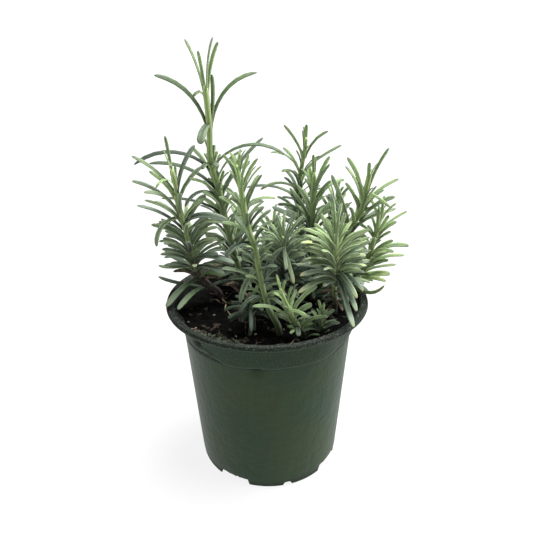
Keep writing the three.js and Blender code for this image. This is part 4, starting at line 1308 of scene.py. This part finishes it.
# The noise that shapes the chips and the perlite starts from a set number, so that each
# run gives the same.
noise.seed_set(211)
draw = random_from(211)
bm = bmesh.new()
for chip in range(CHIP_COUNT):
    spot = scattered(draw, CHIP_REACH)
    size = Vector((1.6 + 3.2 * next(draw), 1 + 1.2 * next(draw), 0.7 + 0.7 * next(draw)))
    turn = Matrix.Rotation(math.pi * next(draw), 4, "Z")
    tilt = Matrix.Rotation(either_way(draw, CHIP_TILT), 4, "Y")
    place = Matrix.Translation(spot * MM) @ turn @ tilt @ Matrix.Diagonal((*size * MM, 1))
    verts = bmesh.ops.create_cube(bm, size=1)["verts"]
    edges = list({edge for vertex in verts for edge in vertex.link_edges})
    bmesh.ops.subdivide_edges(
        bm, edges=edges, cuts=CHIP_CUTS, use_grid_fill=True, smooth=0.4,
    )
    bm.verts.ensure_lookup_table()
    verts = bm.verts[-CHIP_VERTS:]
    bmesh.ops.transform(bm, matrix=place, verts=verts)
    lumpy(verts, 0.8, 2, chip)
bmesh.ops.recalc_face_normals(bm, faces=bm.faces[:])

bark_skin, shader, place = new_material("composted_pine_bark")
layers = node(bark_skin, "TexNoise", {"Vector": place, "Scale": 700, "Detail": 4})
brown = node(bark_skin, "ValToRGB", {"Fac": layers}, stops=[(0.3, "#100B09"), (0.7, "#38281D")])
relief = node(bark_skin, "Bump", {"Height": layers, "Strength": 0.6, "Distance": 0.5 * MM})
connect(shader, {"Base Color": brown, "Roughness": 0.8, "Normal": relief})

bark = new_piece("bark_chips", bm, bark_skin)
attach(bark, "root")


# Perlite
# Grains of volcanic glass puffed up by heat, 1 to 2 mm across and chalky white. They
# keep the mix open, and a few lie at its surface, greyed by peat dust.
GRAIN_COUNT = 28
GRAIN_REACH = 62

draw = random_from(223)
bm = bmesh.new()
for grain in range(GRAIN_COUNT):
    spot = scattered(draw, GRAIN_REACH)
    radius = 0.4 + 0.6 * next(draw)
    place = Matrix.Translation(spot * MM) @ Matrix.Scale(radius * MM, 4)
    verts = bmesh.ops.create_icosphere(bm, subdivisions=2, radius=1, matrix=place)["verts"]
    lumpy(verts, 0.5 * radius, radius, grain)

perlite_skin, shader, place = new_material("expanded_perlite")
dust = node(perlite_skin, "TexNoise", {"Vector": place, "Scale": 900, "Detail": 3})
white = node(perlite_skin, "ValToRGB", {"Fac": dust}, stops=[
    (0.35, "#565047"), (0.6, "#A39E94"),
])
connect(shader, {"Base Color": white, "Roughness": 0.9})

perlite = new_piece("perlite_grains", bm, perlite_skin)
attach(perlite, "root")


# Moss
# Tufts of grey-green moss that came up on the damp peat at the front left, where light
# reaches it. Each is a low cushion of leaflets 1 to 3 mm long, grown onto the surface.
MOSS_CUSHIONS = (
    (-48, -30, 4), (-43, -35, 4), (-37, -38, 5), (-31, -41, 5), (-25, -41, 4), (-19, -44, 4),
)
LEAFLETS_PER_MM = 13
LEAFLET_LEAN = 1.4
LEAFLET_FOOT_RADIUS = 0.42
LEAFLET_TIP_RADIUS = 0.08

draw = random_from(227)
bm = bmesh.new()
for centre_x, centre_y, spread in MOSS_CUSHIONS:
    for leaflet in range(LEAFLETS_PER_MM * spread):
        radius, turn = spread * math.sqrt(next(draw)), 2 * math.pi * next(draw)
        x, y = centre_x + radius * math.cos(turn), centre_y + radius * math.sin(turn)
        length = (1.2 + 1.6 * next(draw)) * (1.2 - radius / spread * 0.6)
        spot = Vector((x, y, soil_surface(x, y) + length * 0.35))
        lean = Matrix.Rotation(either_way(draw, LEAFLET_LEAN), 4, "X")
        lean = lean @ Matrix.Rotation(either_way(draw, LEAFLET_LEAN), 4, "Y")
        bmesh.ops.create_cone(
            bm, cap_ends=True, segments=4, radius1=LEAFLET_FOOT_RADIUS * MM,
            radius2=LEAFLET_TIP_RADIUS * MM, depth=length * MM,
            matrix=Matrix.Translation(spot * MM) @ lean,
        )

moss_skin, shader, place = new_material("cushion_moss")
patches = node(moss_skin, "TexNoise", {"Vector": place, "Scale": 320, "Detail": 3})
green = node(moss_skin, "ValToRGB", {"Fac": patches}, stops=[
    (0.35, "#2E3523"), (0.65, "#6A7555"),
])
connect(shader, {"Base Color": green, "Roughness": 0.85, "Sheen Weight": 0.2})

moss = new_piece("moss_cushions", bm, moss_skin)
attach(moss, "root")


# Surface roots
# Fine feeder roots and peat fibres that show at the surface, half a millimetre thick.
# They wander over the clods and dip in and out of the mix.
ROOT_COUNT = 32
ROOT_REACH = 58
ROOT_ENDS_AT = 64
ROOT_SIDES = 5
ROOT_STEPS = 9
ROOT_STEP = 2.2
ROOT_WANDER = 1.3
ROOT_DIP = 0.9
ROOT_TAPER = 0.06


def round_sections(points, radii):
    """Rings square to a path, for a rod with a round section."""
    sections = []
    turns = [2 * math.pi * step / ROOT_SIDES for step in range(ROOT_SIDES)]
    for number, (point, radius) in enumerate(zip(points, radii)):
        after, before = points[min(number + 1, len(points) - 1)], points[max(number - 1, 0)]
        ahead = (after - before).normalized()
        side = ahead.orthogonal().normalized()
        upper = ahead.cross(side)
        sections.append([
            point + radius * (side * math.cos(turn) + upper * math.sin(turn)) for turn in turns
        ])
    return sections


draw = random_from(229)
bm = bmesh.new()
for root in range(ROOT_COUNT):
    spot = scattered(draw, ROOT_REACH)
    heading = 2 * math.pi * next(draw)
    radius = 0.18 + 0.2 * next(draw)
    points = []
    for step in range(ROOT_STEPS):
        height = soil_surface(spot.x, spot.y) + 0.35 + either_way(draw, ROOT_DIP)
        points.append(Vector((spot.x, spot.y, height)))
        heading += either_way(draw, ROOT_WANDER)
        spot += Vector((math.cos(heading), math.sin(heading), 0)) * ROOT_STEP
        if spot.xy.length > ROOT_ENDS_AT:
            break
    if len(points) > 3:
        radii = [radius * (1 - ROOT_TAPER * step) for step in range(len(points))]
        rod(bm, round_sections(points, radii))
bmesh.ops.recalc_face_normals(bm, faces=bm.faces[:])

root_skin, shader, place = new_material("dry_feeder_roots")
tint = node(root_skin, "TexNoise", {"Vector": place, "Scale": 300, "Detail": 2})
tan = node(root_skin, "ValToRGB", {"Fac": tint}, stops=[
    (0.35, "#2A2019"), (0.65, "#6E5C48"),
])
connect(shader, {"Base Color": tan, "Roughness": 0.75})

roots = new_piece("surface_roots", bm, root_skin)
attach(roots, "root")


# Dead twigs
# Broken ends of old lavender stems that lie on the mix, bleached and split by the
# weather. They are about 1 mm thick, taper, and rest on the clods.
TWIGS = (
    ((-56, -27), (-53, -25), (-50, -28), (-47, -33), (-43, -36)), ((-53, -25), (-52, -21)),
    ((-37, 20), (-33, 14), (-30, 9)), ((-32, 10), (-33, 3), (-32, -2)), ((-32, 2), (-27, -8)),
    ((-44, 22), (-40, 16), (-37, 13)), ((12, -52), (17, -48), (19, -43)),
)
TWIG_RADIUS = 0.75
TWIG_LIFT = 0.9
TWIG_TAPER = 0.1

bm = bmesh.new()
for twig in TWIGS:
    points = [Vector((x, y, soil_surface(x, y) + TWIG_LIFT)) for x, y in twig]
    radii = [TWIG_RADIUS - TWIG_TAPER * number for number in range(len(points))]
    rod(bm, round_sections(points, radii))
bmesh.ops.recalc_face_normals(bm, faces=bm.faces[:])

twig_skin, shader, place = new_material("bleached_lavender_twigs")
split = node(twig_skin, "TexNoise", {"Vector": place, "Scale": 500, "Detail": 3})
bleached = node(twig_skin, "ValToRGB", {"Fac": split}, stops=[
    (0.35, "#5C4C3A"), (0.65, "#B5A284"),
])
connect(shader, {"Base Color": bleached, "Roughness": 0.85})

twigs = new_piece("dead_twigs", bm, twig_skin)
worn_round = twigs.modifiers.new("worn_round", "SUBSURF")
worn_round.levels = 1
worn_round.render_levels = 1
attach(twigs, "root")


# Floor, lights and surroundings
# A table top, dark grey in itself, that glows nearly white: the glow fades the shadows
# cast on it and lights the pot and plant from below. Above it are a broad soft light
# nearly overhead and a weak one from a window at the right. The walls are bright up to
# 15 degrees above the horizon and dark from 25 degrees on. The table top reaches 40 m,
# so no edge shows.
FLOOR_REACH = 40
BRIGHT_TO = 0.26
DARK_FROM = 0.42

bm = bmesh.new()
bmesh.ops.create_circle(bm, cap_ends=True, segments=64, radius=FLOOR_REACH)
glowing_floor_skin, shader, place = new_material("glowing_white_table_top")
# Most of the floor's whiteness is its own glow, which fades the shadows on it.
connect(shader, {
    "Base Color": linear("#525252"), "Roughness": 0.9,
    "Emission Color": linear("#FFFFFF"), "Emission Strength": 0.87,
})
floor = new_piece("floor", bm, glowing_floor_skin)
floor.location.z = -MM

world = bpy.data.worlds.new("bright_room")
bpy.context.scene.world = world
world.use_nodes = True
direction = node(world, "SeparateXYZ", {0: node(world, "TexCoord", {}).outputs["Generated"]})
brightness = node(world, "MapRange", {
    "Value": direction.outputs["Z"], "From Min": BRIGHT_TO, "From Max": DARK_FROM,
    "To Min": 1, "To Max": 0.05,
})
connect(world.node_tree.nodes["Background"], {"Color": (1, 1, 1, 1), "Strength": brightness})


def add_light(name, strength, spread, direction):
    """Adds a light as wide as a window, which comes from a direction."""
    lamp = bpy.data.lights.new(name, "SUN")
    lamp.energy = strength
    lamp.angle = math.radians(spread)
    light = bpy.data.objects.new(name, lamp)
    light.matrix_world = Vector(direction).to_track_quat("Z", "Y").to_matrix().to_4x4()
    bpy.context.collection.objects.link(light)


add_light("overhead_softbox", 9.4, 45, (0.35, 0.12, 1))
add_light("side_window", 1.2, 40, (1, 0.2, 0.3))
bpy.context.scene.view_settings.view_transform = "Standard"
